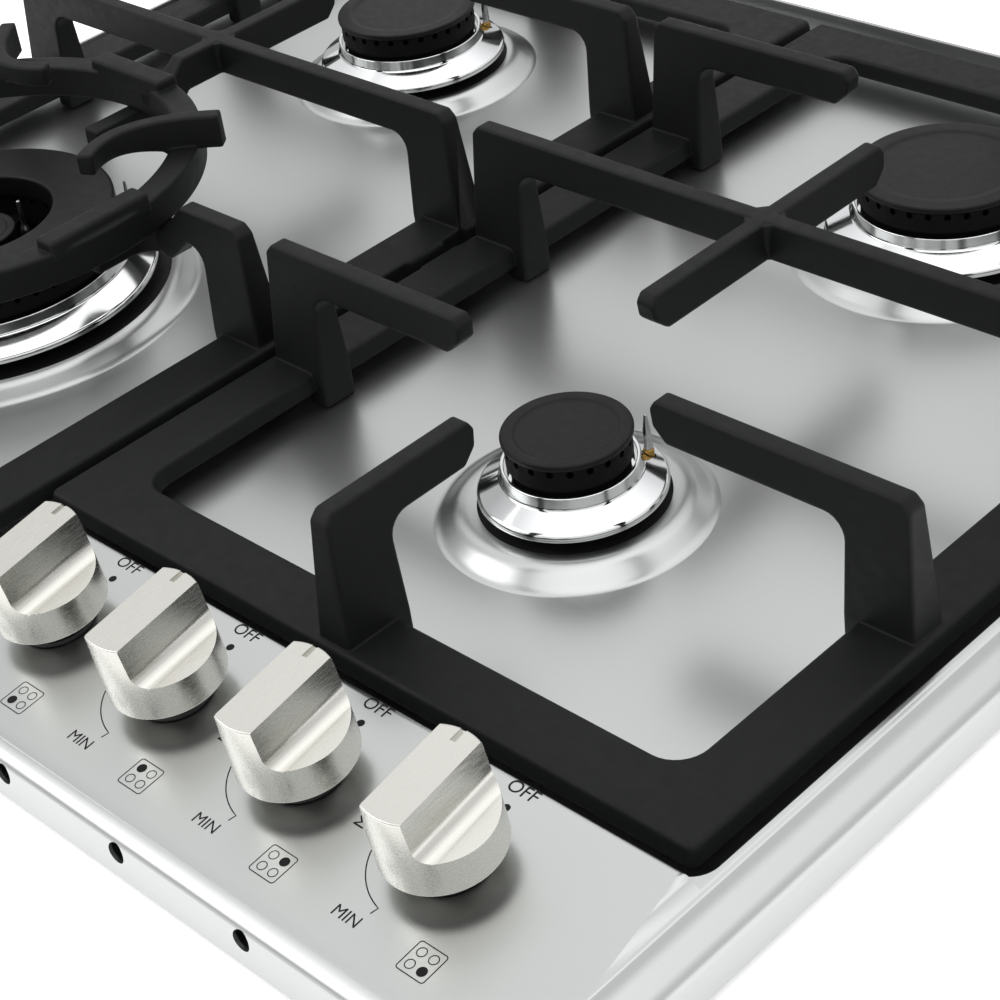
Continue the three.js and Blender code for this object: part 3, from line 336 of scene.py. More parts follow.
def lofted(corners, radius, profile, steps=8):
    """A closed form: the outline stacked at each (inset, z) of the profile."""
    bm = bmesh.new()
    rings = []
    for inset, z in profile:
        rings.append(loop(bm, [(p.x, p.y, z) for p in outline(corners, radius, inset, steps)]))
    for lower, upper in zip(rings, rings[1:]):
        bmesh.ops.bridge_loops(bm, edges=lower + upper)
    for ring in (rings[0], rings[-1]):
        bmesh.ops.contextual_create(bm, geom=ring)
    bmesh.ops.recalc_face_normals(bm, faces=bm.faces)
    return bm


def spun(profile, steps=96):
    """A profile of (radius, z) turned round the Z axis; off the axis it closes on itself."""
    bm = bmesh.new()
    verts = [bm.verts.new((r, 0, z)) for r, z in profile]
    edges = [bm.edges.new(pair) for pair in zip(verts, verts[1:])]
    if profile[0][0] > 0:
        edges.append(bm.edges.new((verts[-1], verts[0])))
    bmesh.ops.spin(
        bm, geom=verts + edges, cent=(0, 0, 0), axis=(0, 0, 1), angle=2 * math.pi, steps=steps, use_merge=True
    )
    bmesh.ops.remove_doubles(bm, verts=bm.verts, dist=1e-3)
    bmesh.ops.recalc_face_normals(bm, faces=bm.faces)
    return bm


def turned(profile, sizes, curve=4, steps=96):
    """A round piece from a profile of (radius, z), its inner points rounded off by sizes."""
    return spun(soften(profile, sizes, curve), steps)


def slab(points, along, low, high):
    """A flat outline, pushed along an axis ("X": points are y, z; "Y": x, z; "Z": x, y)."""
    axis = "XYZ".index(along)
    bm = bmesh.new()
    face = bm.faces.new([bm.verts.new((*p[:axis], low, *p[axis:])) for p in points])
    made = bmesh.ops.extrude_face_region(bm, geom=[face], use_keep_orig=True)
    far = [v for v in made["geom"] if isinstance(v, bmesh.types.BMVert)]
    push = [0, 0, 0]
    push[axis] = high - low
    bmesh.ops.translate(bm, vec=push, verts=far)
    bmesh.ops.recalc_face_normals(bm, faces=bm.faces)
    return bm


def drum(radius, z0, z1, steps):
    """A plain round bar, upright."""
    bm = bmesh.new()
    place = shift(0, 0, (z0 + z1) / 2)
    bmesh.ops.create_cone(
        bm, cap_ends=True, segments=steps, radius1=radius, radius2=radius, depth=z1 - z0, matrix=place
    )
    return bm


def moved(bm, *matrices):
    for matrix in matrices:
        bmesh.ops.transform(bm, matrix=matrix, verts=bm.verts)
    return bm


def shift(x=0.0, y=0.0, z=0.0):
    return Matrix.Translation((x, y, z))


def turn(degrees, axis="Z"):
    return Matrix.Rotation(math.radians(degrees), 4, axis)


def mirrored(bm):
    """The same form with its sides swapped."""
    moved(bm, Matrix.Scale(-1, 4, (1, 0, 0)))
    bmesh.ops.recalc_face_normals(bm, faces=bm.faces)
    return bm


def joined(*meshes):
    """Several meshes in one, each still closed by itself."""
    whole = bmesh.new()
    for bm in meshes:
        mesh = bpy.data.meshes.new("part")
        bm.to_mesh(mesh)
        bm.free()
        whole.from_mesh(mesh)
        bpy.data.meshes.remove(mesh)
    return whole


def shaped(bm, *steps):
    """Runs modifiers on a mesh and returns the result; a step is (type, settings)."""
    scene = bpy.context.scene
    mesh = bpy.data.meshes.new("work")
    bm.to_mesh(mesh)
    bm.free()
    work = bpy.data.objects.new("work", mesh)
    scene.collection.objects.link(work)
    tools = []
    for kind, settings in steps:
        change = work.modifiers.new(kind, kind)
        for key, value in settings.items():
            if isinstance(value, bmesh.types.BMesh):
                tool_mesh = bpy.data.meshes.new("tool")
                value.to_mesh(tool_mesh)
                value.free()
                value = bpy.data.objects.new("tool", tool_mesh)
                scene.collection.objects.link(value)
                tools.append(value)
            setattr(change, key, value)
    bpy.context.view_layer.update()
    result = bpy.data.meshes.new_from_object(work.evaluated_get(bpy.context.evaluated_depsgraph_get()))
    out = bmesh.new()
    out.from_mesh(result)
    bpy.data.meshes.remove(result)
    for extra in [work, *tools]:
        extra_mesh = extra.data
        bpy.data.objects.remove(extra)
        bpy.data.meshes.remove(extra_mesh)
    return out


def boolean(operation, tool):
    return "BOOLEAN", {"operation": operation, "solver": "MANIFOLD", "object": tool}


def cut(bm, *tools):
    return shaped(bm, *[boolean("DIFFERENCE", tool) for tool in tools])


def softened(bm, size, segments=2, angle=30.0):
    """Rounds every edge sharper than the angle."""
    bmesh.ops.remove_doubles(bm, verts=bm.verts, dist=1e-3)
    bmesh.ops.dissolve_limit(bm, angle_limit=math.radians(1), verts=bm.verts, edges=bm.edges)
    sharp = [e for e in bm.edges if e.is_manifold and e.calc_face_angle(0) > math.radians(angle)]
    shape = {"offset": size, "offset_type": "OFFSET", "segments": segments, "profile": 0.5}
    bmesh.ops.bevel(bm, geom=sharp, affect="EDGES", clamp_overlap=True, material=-1, **shape)
    return bm


def united(first, *others):
    return shaped(first, *[boolean("UNION", other) for other in others])


def piece(scene, name, bm, look, body, stands_for=(), sharp=35.0):
    """Makes the finished object, in metres, riding on its body."""
    bmesh.ops.scale(bm, vec=(MM, MM, MM), verts=bm.verts)
    mesh = bpy.data.meshes.new(name)
    bm.to_mesh(mesh)
    bm.free()
    mesh.materials.append(finish(scene, look))
    mesh.shade_smooth()
    mesh.set_sharp_from_angle(angle=math.radians(sharp))
    made = bpy.data.objects.new(name, mesh)
    scene.collection.objects.link(made)
    # Flat faces stay flat beside their rounded edges.
    made.modifiers.new("even_faces", "WEIGHTED_NORMAL").keep_sharp = True
    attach(made, body)
    if stands_for:
        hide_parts(*stands_for)
    return made


# ------------------------------------------------------------------ steel top

SKIRT_BOTTOM = 48.3
FLANGE = 61.0
GROOVE = 65.0
RIM = 68.0
WELL = 58.0
PANEL = 72.0
BOSS = 63.0
PLATE = rectangle(-290, 290, -252, 252)
PLATE_CORNER = 14
PANEL_REAR = -176
AIR_HOLES = 10
WELL_CORNERS = [(-277, -239), (10, -239), (10, PANEL_REAR), (277, PANEL_REAR), (277, 239), (-277, 239)]


def panel_height(y):
    return PANEL - math.tan(PANEL_TILT) * (PANEL_REAR - y)


def on_panel():
    """From the panel's own frame, square to it over the knob row, to the hob's frame."""
    return Matrix.Translation((0, *KNOB_ROW)) @ Matrix.Rotation(PANEL_TILT, 4, "X")


def panel_side(offset):
    """The panel's side view from its rear edge to the front wall."""
    line = [
        (PANEL_REAR - offset, 50),
        (PANEL_REAR - offset, PANEL - offset),
        (-246, panel_height(-246) - offset),
        (-251, panel_height(-251) - 1.6 - offset),
        (-252 + offset, 58),
        (-252 + offset, 50),
    ]
    return soften(line, (2.2, 4, 3, 3), 5)


def top_solid(scene, offset):
    """Everything under the top's surface; the offset moves that surface inwards."""
    edge = scene.hob_top.edge_round / MM
    rim = [
        (offset, SKIRT_BOTTOM + offset),
        (offset, FLANGE - offset * 0.5),
        (8 + offset * 0.4, GROOVE - offset),
        (10.8 + offset * 0.4, RIM - offset),
        (16, RIM - offset),
    ]
    shell = lofted(PLATE, PLATE_CORNER, soften(rim, (edge, 1.4, 1.4)), 12)
    line = panel_side(offset)
    over = [(PANEL_REAR, 90), (PANEL_REAR, line[1][1]), *line[1:-1], (-254, line[-2][1]), (-254, 90)]
    above = slab(over, "X", 10, 282)
    side = slab(line, "X", 7, 282)
    front = [
        (7 + offset, 48),
        (282, 48),
        (282, GROOVE - offset),
        (273.5 - offset * 0.8, PANEL + 0.1 - offset),
        (11.5 + offset, PANEL + 0.1 - offset),
        (9.2 + offset, PANEL - 3),
        (7 + offset, 48),
    ]
    ends = slab(soften(front, (0, 0, 3, 1.5, 1.5))[:-1], "Y", -253, -170)
    plan = lofted(PLATE, PLATE_CORNER, [(offset, SKIRT_BOTTOM + offset), (offset, PANEL + 9)], 12)
    wedge = shaped(side, boolean("INTERSECT", ends), boolean("INTERSECT", plan))
    body = shaped(shell, boolean("DIFFERENCE", above), boolean("UNION", wedge))
    walls = [
        (3.2 - offset, WELL - offset),
        (3 - offset, WELL - offset),
        (-offset, RIM - offset),
        (-offset, PANEL + 9),
    ]
    well = lofted(WELL_CORNERS, 9, soften(walls, (2.2, 0)), 10)
    bosses = [moved(boss(burner, offset), shift(*burner["at"])) for burner in BURNERS.values()]
    return united(cut(body, well), *bosses)


def boss(burner, offset):
    """The raised land round a burner: a soft foot, a sloping wall and a rounded lip."""
    foot, lip = burner["boss"] - offset * 0.6, burner["boss"] - 7 - offset * 0.5
    profile = [
        (0, WELL - 2.4),
        (foot + 3, WELL - 2.4),
        (foot + 3, WELL - offset - 0.05),
        (foot, WELL - offset + 0.05),
        (lip, BOSS - offset),
        (0, BOSS - offset),
    ]
    return turned(profile, (0, 0, 2.4, 3), 6)


def igniter_place(burner):
    angle = math.radians(58)
    reach = burner["cap"] + 4
    return burner["at"][0] + reach * math.cos(angle), burner["at"][1] + reach * math.sin(angle)


def steel_top(scene):
    sheet = scene.hob_top.sheet / MM
    holes = []
    for burner in BURNERS.values():
        holes.append(moved(drum(burner["hole"], WELL - 6, BOSS + 4, 96), shift(*burner["at"])))
    for x in KNOBS.values():
        holes.append(moved(drum(6, -12, 12, 32), shift(x), on_panel()))
    for index in range(AIR_HOLES):
        x = -220 + index * 51.4
        holes.append(moved(drum(3.2, -4, 4, 24), turn(90, "X"), shift(x, -252, 58)))
    opening = lofted(PLATE, PLATE_CORNER, [(12, SKIRT_BOTTOM - 1), (12, SKIRT_BOTTOM + sheet + 0.5)])
    return cut(top_solid(scene, 0.0), top_solid(scene, sheet), opening, *holes)


class COOKTOP_OT_steel_top(bpy.types.Operator):
    """Makes the pressed steel top with its rim, well, bosses and sloping panel"""

    bl_idname = "cooktop.steel_top"
    bl_label = "Steel top"

    def execute(self, context):
        top = steel_top(context.scene)
        piece(context.scene, "steel_top", top, "stainless", "cooktop", ["top_plate"])
        return {"FINISHED"}


# ------------------------------------------------------------------ burners

RING_EDGE = BOSS + 5.6
RING_CONE = RING_EDGE + 4
RING_TOP = RING_CONE + 4.5
CAP_SEAT = RING_TOP + 8.4
HEAD_TOP = CAP_SEAT - 0.3
WOK_CAP_TOP = CAP_SEAT + 8.7
SPIGOT = RING_CONE - 13.6


def trim_ring(burner):
    """Chrome: a short collar, a bright sloping skirt and a rolled lower edge."""
    collar, rim, inner = burner["cap"] + 1, burner["ring"], burner["cap"] - 8.5
    profile = [
        (inner, RING_CONE - 1.2),
        (collar - 1.2, RING_CONE - 1.2),
        (rim - 1.4, RING_EDGE - 1.2),
        (rim - 0.6, RING_EDGE - 2.2),
        (rim, RING_EDGE - 2.0),
        (rim, RING_EDGE + 0.1),
        (collar + 0.4, RING_CONE + 0.1),
        (collar, RING_TOP - 0.3),
        (collar - 1.2, RING_TOP - 0.3),
        (collar - 1.2, RING_CONE),
        (inner, RING_CONE),
    ]
    ring = turned(profile, (0, 0.6, 0.3, 0.3, 1.2, 0.8, 0.4, 0.3, 0))
    x, y = igniter_place(burner)
    hole = moved(drum(2.2, RING_EDGE - 8, RING_TOP, 24), shift(x - burner["at"][0], y - burner["at"][1]))
    return cut(ring, hole)


def burner_head(burner, width):
    """Black enamelled head: a round wall pierced by flame ports, with a spigot below."""
    outer, spigot = burner["cap"] - 1, burner["cap"] - 8.9
    profile = [
        (spigot - 2.5, SPIGOT),
        (spigot, SPIGOT),
        (spigot, RING_CONE + 0.3),
        (outer - 1.2, RING_CONE + 0.3),
        (outer - 1.2, RING_TOP),
        (outer, RING_TOP + 0.8),
        (outer, HEAD_TOP),
        (outer - 4, HEAD_TOP),
        (outer - 4, RING_TOP),
        (spigot - 2.5, RING_TOP),
    ]
    head = turned(profile, (0, 0, 0, 0.3, 0.4, 0.2, 0, 0))
    ports = []
    for index in range(burner["ports"]):
        port = moved(drum(width / 2, outer - 6, outer + 2, 12), turn(90, "Y"), shift(0, 0, CAP_SEAT - 1.6))
        ports.append(moved(port, turn((index + 0.5) * 360 / burner["ports"])))
    return cut(head, joined(*ports))


def wok_head(burner, width):
    """Two black rings of flame ports, one in the other, joined by three bridges."""
    outer, spigot = burner["cap"] - 1, burner["cap"] - 8.9
    ring = spun([
        (spigot - 2.5, SPIGOT),
        (spigot, SPIGOT),
        (spigot, RING_CONE + 0.3),
        (outer - 1.2, RING_CONE + 0.3),
        (outer - 1.2, RING_TOP),
        (outer, RING_TOP + 0.8),
        (outer, HEAD_TOP),
        (outer - 4, HEAD_TOP),
        (outer - 4, RING_TOP),
        (35.5, RING_TOP),
        (35.5, HEAD_TOP),
        (31.5, HEAD_TOP),
        (31.5, RING_CONE + 0.3),
        (spigot - 2.5, RING_CONE + 0.3),
    ])
    hub = spun([
        (0, RING_CONE),
        (14.6, RING_CONE),
        (14.6, HEAD_TOP),
        (11, HEAD_TOP),
        (11, RING_TOP),
        (0, RING_TOP),
    ])
    ports = []
    for count, radius in ((burner["ports"], outer), (14, 14.6), (26, 32.5)):
        for index in range(count):
            port = moved(drum(width / 2, radius - 5, radius + 2, 10), turn(90, "Y"))
            ports.append(moved(port, shift(0, 0, CAP_SEAT - 2.6), turn((index + 0.5) * 360 / count)))
    bridge = rectangle(-3, 3, RING_CONE + 1, RING_TOP)
    bridges = [moved(slab(bridge, "X", 13, 33.5), turn(a)) for a in (0, 120, 240)]
    return cut(united(ring, hub, *bridges), joined(*ports))


def round_cap(radius, rim):
    """A cap with a thin rounded edge and a shallow flat recess."""
    profile = [
        (0, CAP_SEAT),
        (rim - 2, CAP_SEAT),
        (rim - 2, CAP_SEAT - 2.5),
        (rim, CAP_SEAT - 2.5),
        (rim, CAP_SEAT),
        (radius - 0.3, CAP_SEAT),
        (radius, CAP_SEAT + 2.2),
        (radius * 0.8, CAP_SEAT + 2.2),
        (radius * 0.765, CAP_SEAT + 1.6),
        (0, CAP_SEAT + 1.6),
    ]
    return turned(profile, (0, 0, 0, 0, 0.6, 1.1, 1.6, 1.6), 6)


def ring_cap(burner):
    """The wok burner's outer cap: a deep ring with rounded upper edges, hollow below."""
    inner, outer, hollow = 30, burner["cap"], 36.1
    profile = [
        (hollow, CAP_SEAT),
        (inner + 4, CAP_SEAT),
        (inner, CAP_SEAT + 0.4),
        (inner, WOK_CAP_TOP),
        (outer, WOK_CAP_TOP),
        (outer, CAP_SEAT),
        (outer - 6.2, CAP_SEAT),
        (outer - 6.2, CAP_SEAT + 5.5),
        (hollow, CAP_SEAT + 5.5),
    ]
    return turned(profile, (0.4, 0.3, 1.4, 1.4, 0.5, 0, 0), 5)


class COOKTOP_OT_burners(bpy.types.Operator):
    """Makes the trim rings, heads, caps and spark igniters"""

    bl_idname = "cooktop.burners"
    bl_label = "Burners"

    def execute(self, context):
        scene = context.scene
        width = scene.hob_burners.port / MM
        for name, burner in BURNERS.items():
            at = shift(*burner["at"])
            wok = name == "front_left"
            ring = moved(trim_ring(burner), at)
            piece(scene, f"bright_ring_{name}", ring, "chrome", "cooktop", [f"trim_ring_{name}"])
            head = moved((wok_head if wok else burner_head)(burner, width), at)
            body = f"burner_head_{name}"
            piece(scene, f"ported_head_{name}", head, "burnt", body, [body])
            if wok:
                caps = {"_outer": ring_cap(burner), "_inner": round_cap(15, 10.6)}
                self.pins(scene)
            else:
                caps = {"": round_cap(burner["cap"], burner["cap"] - 4.8)}
            for part, cap in caps.items():
                body = f"burner_cap_{name}{part}"
                piece(scene, f"flame_cap_{name}{part}", moved(cap, at), "enamel", body, [body])
            self.igniter(scene, name, burner)
        return {"FINISHED"}

    def igniter(self, scene, name, burner):
        at = shift(*igniter_place(burner))
        foot = BOSS - 5
        profile = [
            (0, foot - 21),
            (1.2, foot - 21),
            (1.2, foot - 14),
            (2.2, foot - 14),
            (2.2, foot),
            (1.7, foot),
            (1.7, RING_EDGE + 0.5),
            (0, RING_EDGE + 0.5),
        ]
        sleeve = moved(turned(profile, (0, 0, 0, 0.4, 0, 0.4), 4, 24), at)
        piece(scene, f"igniter_sleeve_{name}", sleeve, "ceramic", "cooktop", [f"igniter_{name}"])
        low, high = RING_EDGE + 0.6, RING_CONE + 0.9
        collar = moved(turned([(0, low), (1.7, low), (1.7, high), (0, high)], (0.2, 0.5), 4, 24), at)
        piece(scene, f"igniter_collar_{name}", collar, "brass", "cooktop")
        low, high = RING_CONE + 1.0, (WOK_CAP_TOP if name == "front_left" else CAP_SEAT) + 0.3
        profile = [(0, low), (1.45, low), (1.3, RING_TOP + 3), (0.5, high), (0, high)]
        tip = moved(turned(profile, (0.2, 0.5, 0.2), 4, 20), at)
        piece(scene, f"igniter_tip_{name}", tip, "steel", "cooktop")

    def pins(self, scene):
        """The flame sensor and the spark pin that stand in the wok burner's open middle."""
        for label, angle, top in (("sensor", 100, CAP_SEAT + 3), ("spark", -20, CAP_SEAT + 1)):
            x, y = polar(23, angle) + Vector(BURNERS["front_left"]["at"])
            profile = [(0, 30.4), (2.0, 30.4), (2.0, top - 12), (1.1, top - 10), (0.8, top), (0, top)]
            pin = moved(turned(profile, (0.2, 0.6, 0.6, 0.5), 4, 24), shift(x, y))
            piece(scene, f"wok_{label}_pin", pin, "steel", "cooktop")


# ------------------------------------------------------------------ cast supports

FRAME_LOW = 64.0
FRAME_TOP = 70.5
FINGER = 114.0
SIDE = 270.5
REAR = 228.0
CROSS_Y = 29.4
RIGHT_FRONT, LEFT_FRONT = -169.5, -230
SPLIT = 1.5  # from the hob's middle to each support's frame
LEG = 27  # run from the frame's side to a leg's inner face
FINGER_LOW = FINGER - 13
REST = FINGER - 11
TIP_GAP = 38.5  # from a burner's middle to the tips of its fingers
LEDGE_GAP = 91.5  # from the wok burner's middle to where a ledge begins
LEDGE = 33.5


def rib(points):
    """An upright rib from its side view, thinner towards the top, its edges rounded."""
    bm = bmesh.new()
    face = bm.faces.new([bm.verts.new((run, 0, z)) for run, z in points])
    made = bmesh.ops.extrude_face_region(bm, geom=[face], use_keep_orig=True)
    far = {v for v in made["geom"] if isinstance(v, bmesh.types.BMVert)}
    for vert in bm.verts:
        vert.co.y = 1 if vert in far else -1
    bmesh.ops.bisect_plane(
        bm, geom=bm.verts[:] + bm.edges[:] + bm.faces[:], dist=1e-4, plane_co=(0, 0, FRAME_TOP), plane_no=(0, 0, 1)
    )
    for vert in bm.verts:
        share = min(max((vert.co.z - FRAME_TOP) / (FINGER - FRAME_TOP), 0), 1)
        vert.co.y *= 6.5 - share * 3.2
    bmesh.ops.recalc_face_normals(bm, faces=bm.faces)
    return softened(bm, bpy.context.scene.hob_castings.edge_round / MM)


def leg_sides():
    inner = []
    for step in range(7):
        angle = step / 6 * math.pi / 2
        inner.append((LEG + 7 * (1 - math.sin(angle)), FINGER_LOW - 7 * (1 - math.cos(angle))))
    outer = [
        (LEG, 58.3),
        (LEG - 9, 58.3),
        (LEG - 9, FRAME_LOW + 0.5),
        (2.6, FRAME_TOP - 2),
        (5.6, FINGER - 3),
        (8.4, FINGER),
    ]
    return inner, outer


def finger_tip(tip):
    return [(tip - 2, FINGER), (tip, FINGER - 3), (tip - 1, FINGER - 8.5), (tip - 6, FINGER_LOW)]


def leg_with_finger(tip):
    inner, outer = leg_sides()
    return rib([*outer, *finger_tip(tip), *inner])


def leg_with_ledge(drop, end):
    inner, outer = leg_sides()
    ledge = [
        (drop - 11, FINGER),
        (drop, REST),
        (end, REST),
        (end, REST - 9),
        (end - 3, REST - 11),
        (drop - 2, REST - 11),
        (drop - 12, FINGER_LOW),
    ]
    return rib([*outer, *ledge, *inner])


def cross_bar(span):
    inner, outer = leg_sides()
    half = [*outer, (span / 2 + 1, FINGER), (span / 2 + 1, FINGER_LOW), *inner]
    other = moved(mirrored(rib(half)), shift(span))
    fillet = [(-9.2, 0), (0, -9.2), (9.2, 0), (0, 9.2)]
    crossing = moved(slab(fillet, "Z", FINGER - 12.5, FINGER - 0.4), shift(span / 2))
    return united(rib(half), other, crossing)


def arm(tip):
    return rib([(0, FINGER_LOW), (0, FINGER), *finger_tip(tip)])


def arm_with_ledge(drop, end):
    return rib([
        (0, FINGER_LOW),
        (0, FINGER),
        (drop - 12, FINGER),
        (drop, REST),
        (end, REST),
        (end, REST - 11),
        (drop - 2, REST - 11),
        (drop - 12, FINGER_LOW),
    ])


def grate_frame(x0, x1, y0):
    """The flat frame with rounded edges and, beside the other support, two shallow notches."""
    side = [
        (0.4, FRAME_LOW),
        (0, FRAME_LOW + 0.5),
        (0.9, FRAME_TOP - 1.5),
        (1.4, FRAME_TOP - 0.6),
        (2.4, FRAME_TOP),
    ]
    window = [
        (0, FRAME_LOW - 1),
        (-0.9, FRAME_TOP - 1.4),
        (-1.4, FRAME_TOP - 0.5),
        (-2.4, FRAME_TOP + 0.05),
        (-4, FRAME_TOP + 1),
    ]
    outer = lofted(rectangle(x0, x1, y0, REAR), 3.5, side)
    inner = lofted(rectangle(x0 + 23, x1 - 23, y0 + 23, REAR - 23), 9, window)
    split = x0 if x0 > 0 else x1
    notches = []
    for low, high in ((-18.6, -3), (13.4, 25.7)):
        plan = rectangle(split - 2.2, split + 2.2, low, high)
        notches.append(lofted(plan, 2, [(0, FRAME_LOW - 1), (0, FRAME_TOP - 0.8), (-1.2, FRAME_TOP + 0.4)]))
    return cut(outer, inner, *notches)


def grate_base(x0, x1, y0):
    """What both supports share: the frame, the middle bar and the rear burner's fingers."""
    reach, middle = (x1 - x0) / 2 - TIP_GAP, (x0 + x1) / 2
    return [
        grate_frame(x0, x1, y0),
        moved(cross_bar(x1 - x0), shift(x0, CROSS_Y)),
        moved(leg_with_finger(reach), shift(x0, REAR_ROW)),
        moved(leg_with_finger(reach), turn(180), shift(x1, REAR_ROW)),
        moved(leg_with_finger(REAR - REAR_ROW - TIP_GAP), turn(-90), shift(middle, REAR)),
        moved(arm(REAR_ROW - CROSS_Y - TIP_GAP), turn(90), shift(middle, CROSS_Y)),
    ]


def right_grate():
    reach = (SIDE - SPLIT) / 2 - TIP_GAP
    return united(
        *grate_base(SPLIT, SIDE, RIGHT_FRONT),
        moved(leg_with_finger(reach), shift(SPLIT, FRONT_ROW)),
        moved(leg_with_finger(reach), turn(180), shift(SIDE, FRONT_ROW)),
        moved(leg_with_finger(FRONT_ROW - RIGHT_FRONT - TIP_GAP), turn(90), shift(COLUMN, RIGHT_FRONT)),
        moved(arm(CROSS_Y - FRONT_ROW - TIP_GAP), turn(-90), shift(COLUMN, CROSS_Y)),
    )


def both_sides(points, width):
    """The two sides of a line of even width along a flat path, as one outline."""
    path = [Vector(p) for p in points]
    left, right = [], []
    for index, point in enumerate(path):
        along = (path[min(index + 1, len(path) - 1)] - path[max(index - 1, 0)]).normalized()
        normal = Vector((-along.y, along.x)) * width / 2
        left.append(tuple(point + normal))
        right.append(tuple(point - normal))
    return right + left[::-1]


def band(points, width, z0, z1):
    """A strip of even width along a flat path."""
    return slab(both_sides(points, width), "Z", z0, z1)


def hook(run):
    """The bent end of a ledge, which holds the wok ring from the side."""
    bend = 12
    points = [(run, 0)]
    for step in range(1, 9):
        angle = math.pi / 2 * (1 - step / 8)
        points.append((run + bend * math.cos(angle), -bend + bend * math.sin(angle)))
    points.append((run + bend, -bend - 14))
    return softened(band(points, 7.4, REST - 11, REST), bpy.context.scene.hob_castings.edge_round / MM)


def left_grate():
    hooked = [united(leg_with_ledge(47.3, 52), hook(50.3)) for _ in range(2)]
    front = WOK_ROW - LEFT_FRONT - LEDGE_GAP
    rear = CROSS_Y - WOK_ROW - LEDGE_GAP
    return united(
        *grate_base(-SIDE, -SPLIT, LEFT_FRONT),
        moved(hooked[0], shift(-SIDE, FRONT_ROW)),
        moved(mirrored(hooked[1]), shift(-SPLIT, FRONT_ROW)),
        moved(leg_with_ledge(front, front + LEDGE), turn(90), shift(-COLUMN, LEFT_FRONT)),
        moved(arm_with_ledge(rear, rear + LEDGE), turn(-90), shift(-COLUMN, CROSS_Y)),
    )


def polar(radius, degrees):
    return Vector((radius * math.cos(math.radians(degrees)), radius * math.sin(math.radians(degrees))))


def wok_arm(low, high):
    """A curved arm from its free inner tip over the ring to its outer end."""
    first, middle, last = polar(60, 17), polar(59, 46), polar(99, 41.5)
    points = []
    for step in range(25):
        t = step / 24
        points.append(first * (1 - t) ** 2 + middle * 2 * t * (1 - t) + last * t**2)
    strip = band(points, 6, low, high)
    for vert in strip.verts:
        if vert.co.z < (low + high) / 2:
            vert.co.z += 5 * min(max((79 - vert.co.xy.length) / 18, 0), 1)
    return softened(strip, bpy.context.scene.hob_castings.edge_round / MM)


def wok_ring():
    """The ring on the four ledges, with four raised bars over them and four curved arms between."""
    low = REST + 0.3
    top = low + 11.5
    edge = bpy.context.scene.hob_castings.edge_round / MM
    profile = [(82, low), (89.5, low), (89.3, top), (79.2, top), (78.2, low), (82, low)]
    ring = spun(soften(profile, (0.8, 1.2, 1.2, 0.8))[:-1], 144)
    saddle = [(77.6, top - 4), (88, top - 4), (87.3, top + 3.8), (78.4, top + 3.8)]
    pieces = []
    for angle in (0, 90, 180, 270):
        pieces.append(moved(softened(slab(saddle, "Y", -21, 21), edge * 1.4, 3), turn(angle)))
        pieces.append(moved(wok_arm(top - 1.5, top + 11), turn(angle)))
    return united(ring, *pieces)


class COOKTOP_OT_castings(bpy.types.Operator):
    """Makes the two cast pan supports and the wok ring"""

    bl_idname = "cooktop.castings"
    bl_label = "Cast supports"

    def execute(self, context):
        scene = context.scene
        castings = {
            "grate_right": right_grate(),
            "grate_left": left_grate(),
            "wok_ring": moved(wok_ring(), shift(-COLUMN, WOK_ROW)),
        }
        for name, form in castings.items():
            piece(scene, f"cast_{name}", form, "iron", name, [name], 50)
        return {"FINISHED"}


# ------------------------------------------------------------------ knobs and prints


def knob(edge):
    """A slightly conical knob whose full-length grip bar rises from two crescent shelves."""
    profile = [(0, 14), (13.6, 14), (13.6, 7), (17.3, 7), (17.2, 18), (16.8, 32.5), (0, 32.5)]
    body = turned(profile, (0, 0, 0.5, 0, 0.8))
    side = [(6.5, 34)]
    for step in range(9):
        angle = math.pi + step / 8 * math.pi / 2
        side.append((7.3 + 5 * (1 + math.cos(angle)), 18.6 + 5 * (1 + math.sin(angle))))
    side += [(19, 17.6), (19, 34)]
    flanks = joined(slab(side, "Y", -20, 20), slab([(-x, z) for x, z in side], "Y", -20, 20))
    bmesh.ops.recalc_face_normals(flanks, faces=flanks.faces)
    notch = slab(rectangle(-0.9, 0.9, 31.3, 34), "Y", 12, 20)
    made = shaped(
        body,
        boolean("DIFFERENCE", flanks),
        boolean("DIFFERENCE", notch),
        boolean("UNION", drum(5.4, 8, 14.5, 32)),
        boolean("DIFFERENCE", drum(3.3, 7, 20, 24)),
    )
    return softened(made, edge, 2, 40)


def bezel():
    profile = [(6.5, 0.3), (11.5, 0.3), (11.5, 1.7), (8.5, 1.7), (8.5, 6), (6.5, 6)]
    return turned(profile, (0.2, 0.5, 0.4, 0.4), 4, 64)


class COOKTOP_OT_knobs(bpy.types.Operator):
    """Makes the knobs and the bezels below them"""

    bl_idname = "cooktop.knobs"
    bl_label = "Knobs"

    def execute(self, context):
        scene = context.scene
        edge = scene.hob_knobs.edge_round / MM
        for name, x in KNOBS.items():
            made = moved(knob(edge), turn(KNOB_TURN), shift(x), on_panel())
            piece(scene, f"grip_knob_{name}", made, "nickel", f"knob_{name}", [f"knob_{name}"])
            plate = moved(bezel(), shift(x), on_panel())
            piece(scene, f"bezel_{name}", plate, "nylon", "cooktop", [f"knob_bezel_{name}"])
        return {"FINISHED"}


def flat_ring(radius, width):
    bm = bmesh.new()
    outer, inner = (
        loop(bm, [(*polar(r, 11.25 * i), 0) for i in range(32)]) for r in (radius, radius - width)
    )
    bmesh.ops.bridge_loops(bm, edges=outer + inner)
    return bm


def disc(radius):
    bm = bmesh.new()
    bmesh.ops.create_circle(bm, cap_ends=True, segments=32, radius=radius)
    return bm


def stroke(points, width):
    """A flat printed line."""
    bm = bmesh.new()
    bm.faces.new([bm.verts.new((*p, 0)) for p in both_sides(points, width)])
    return bm


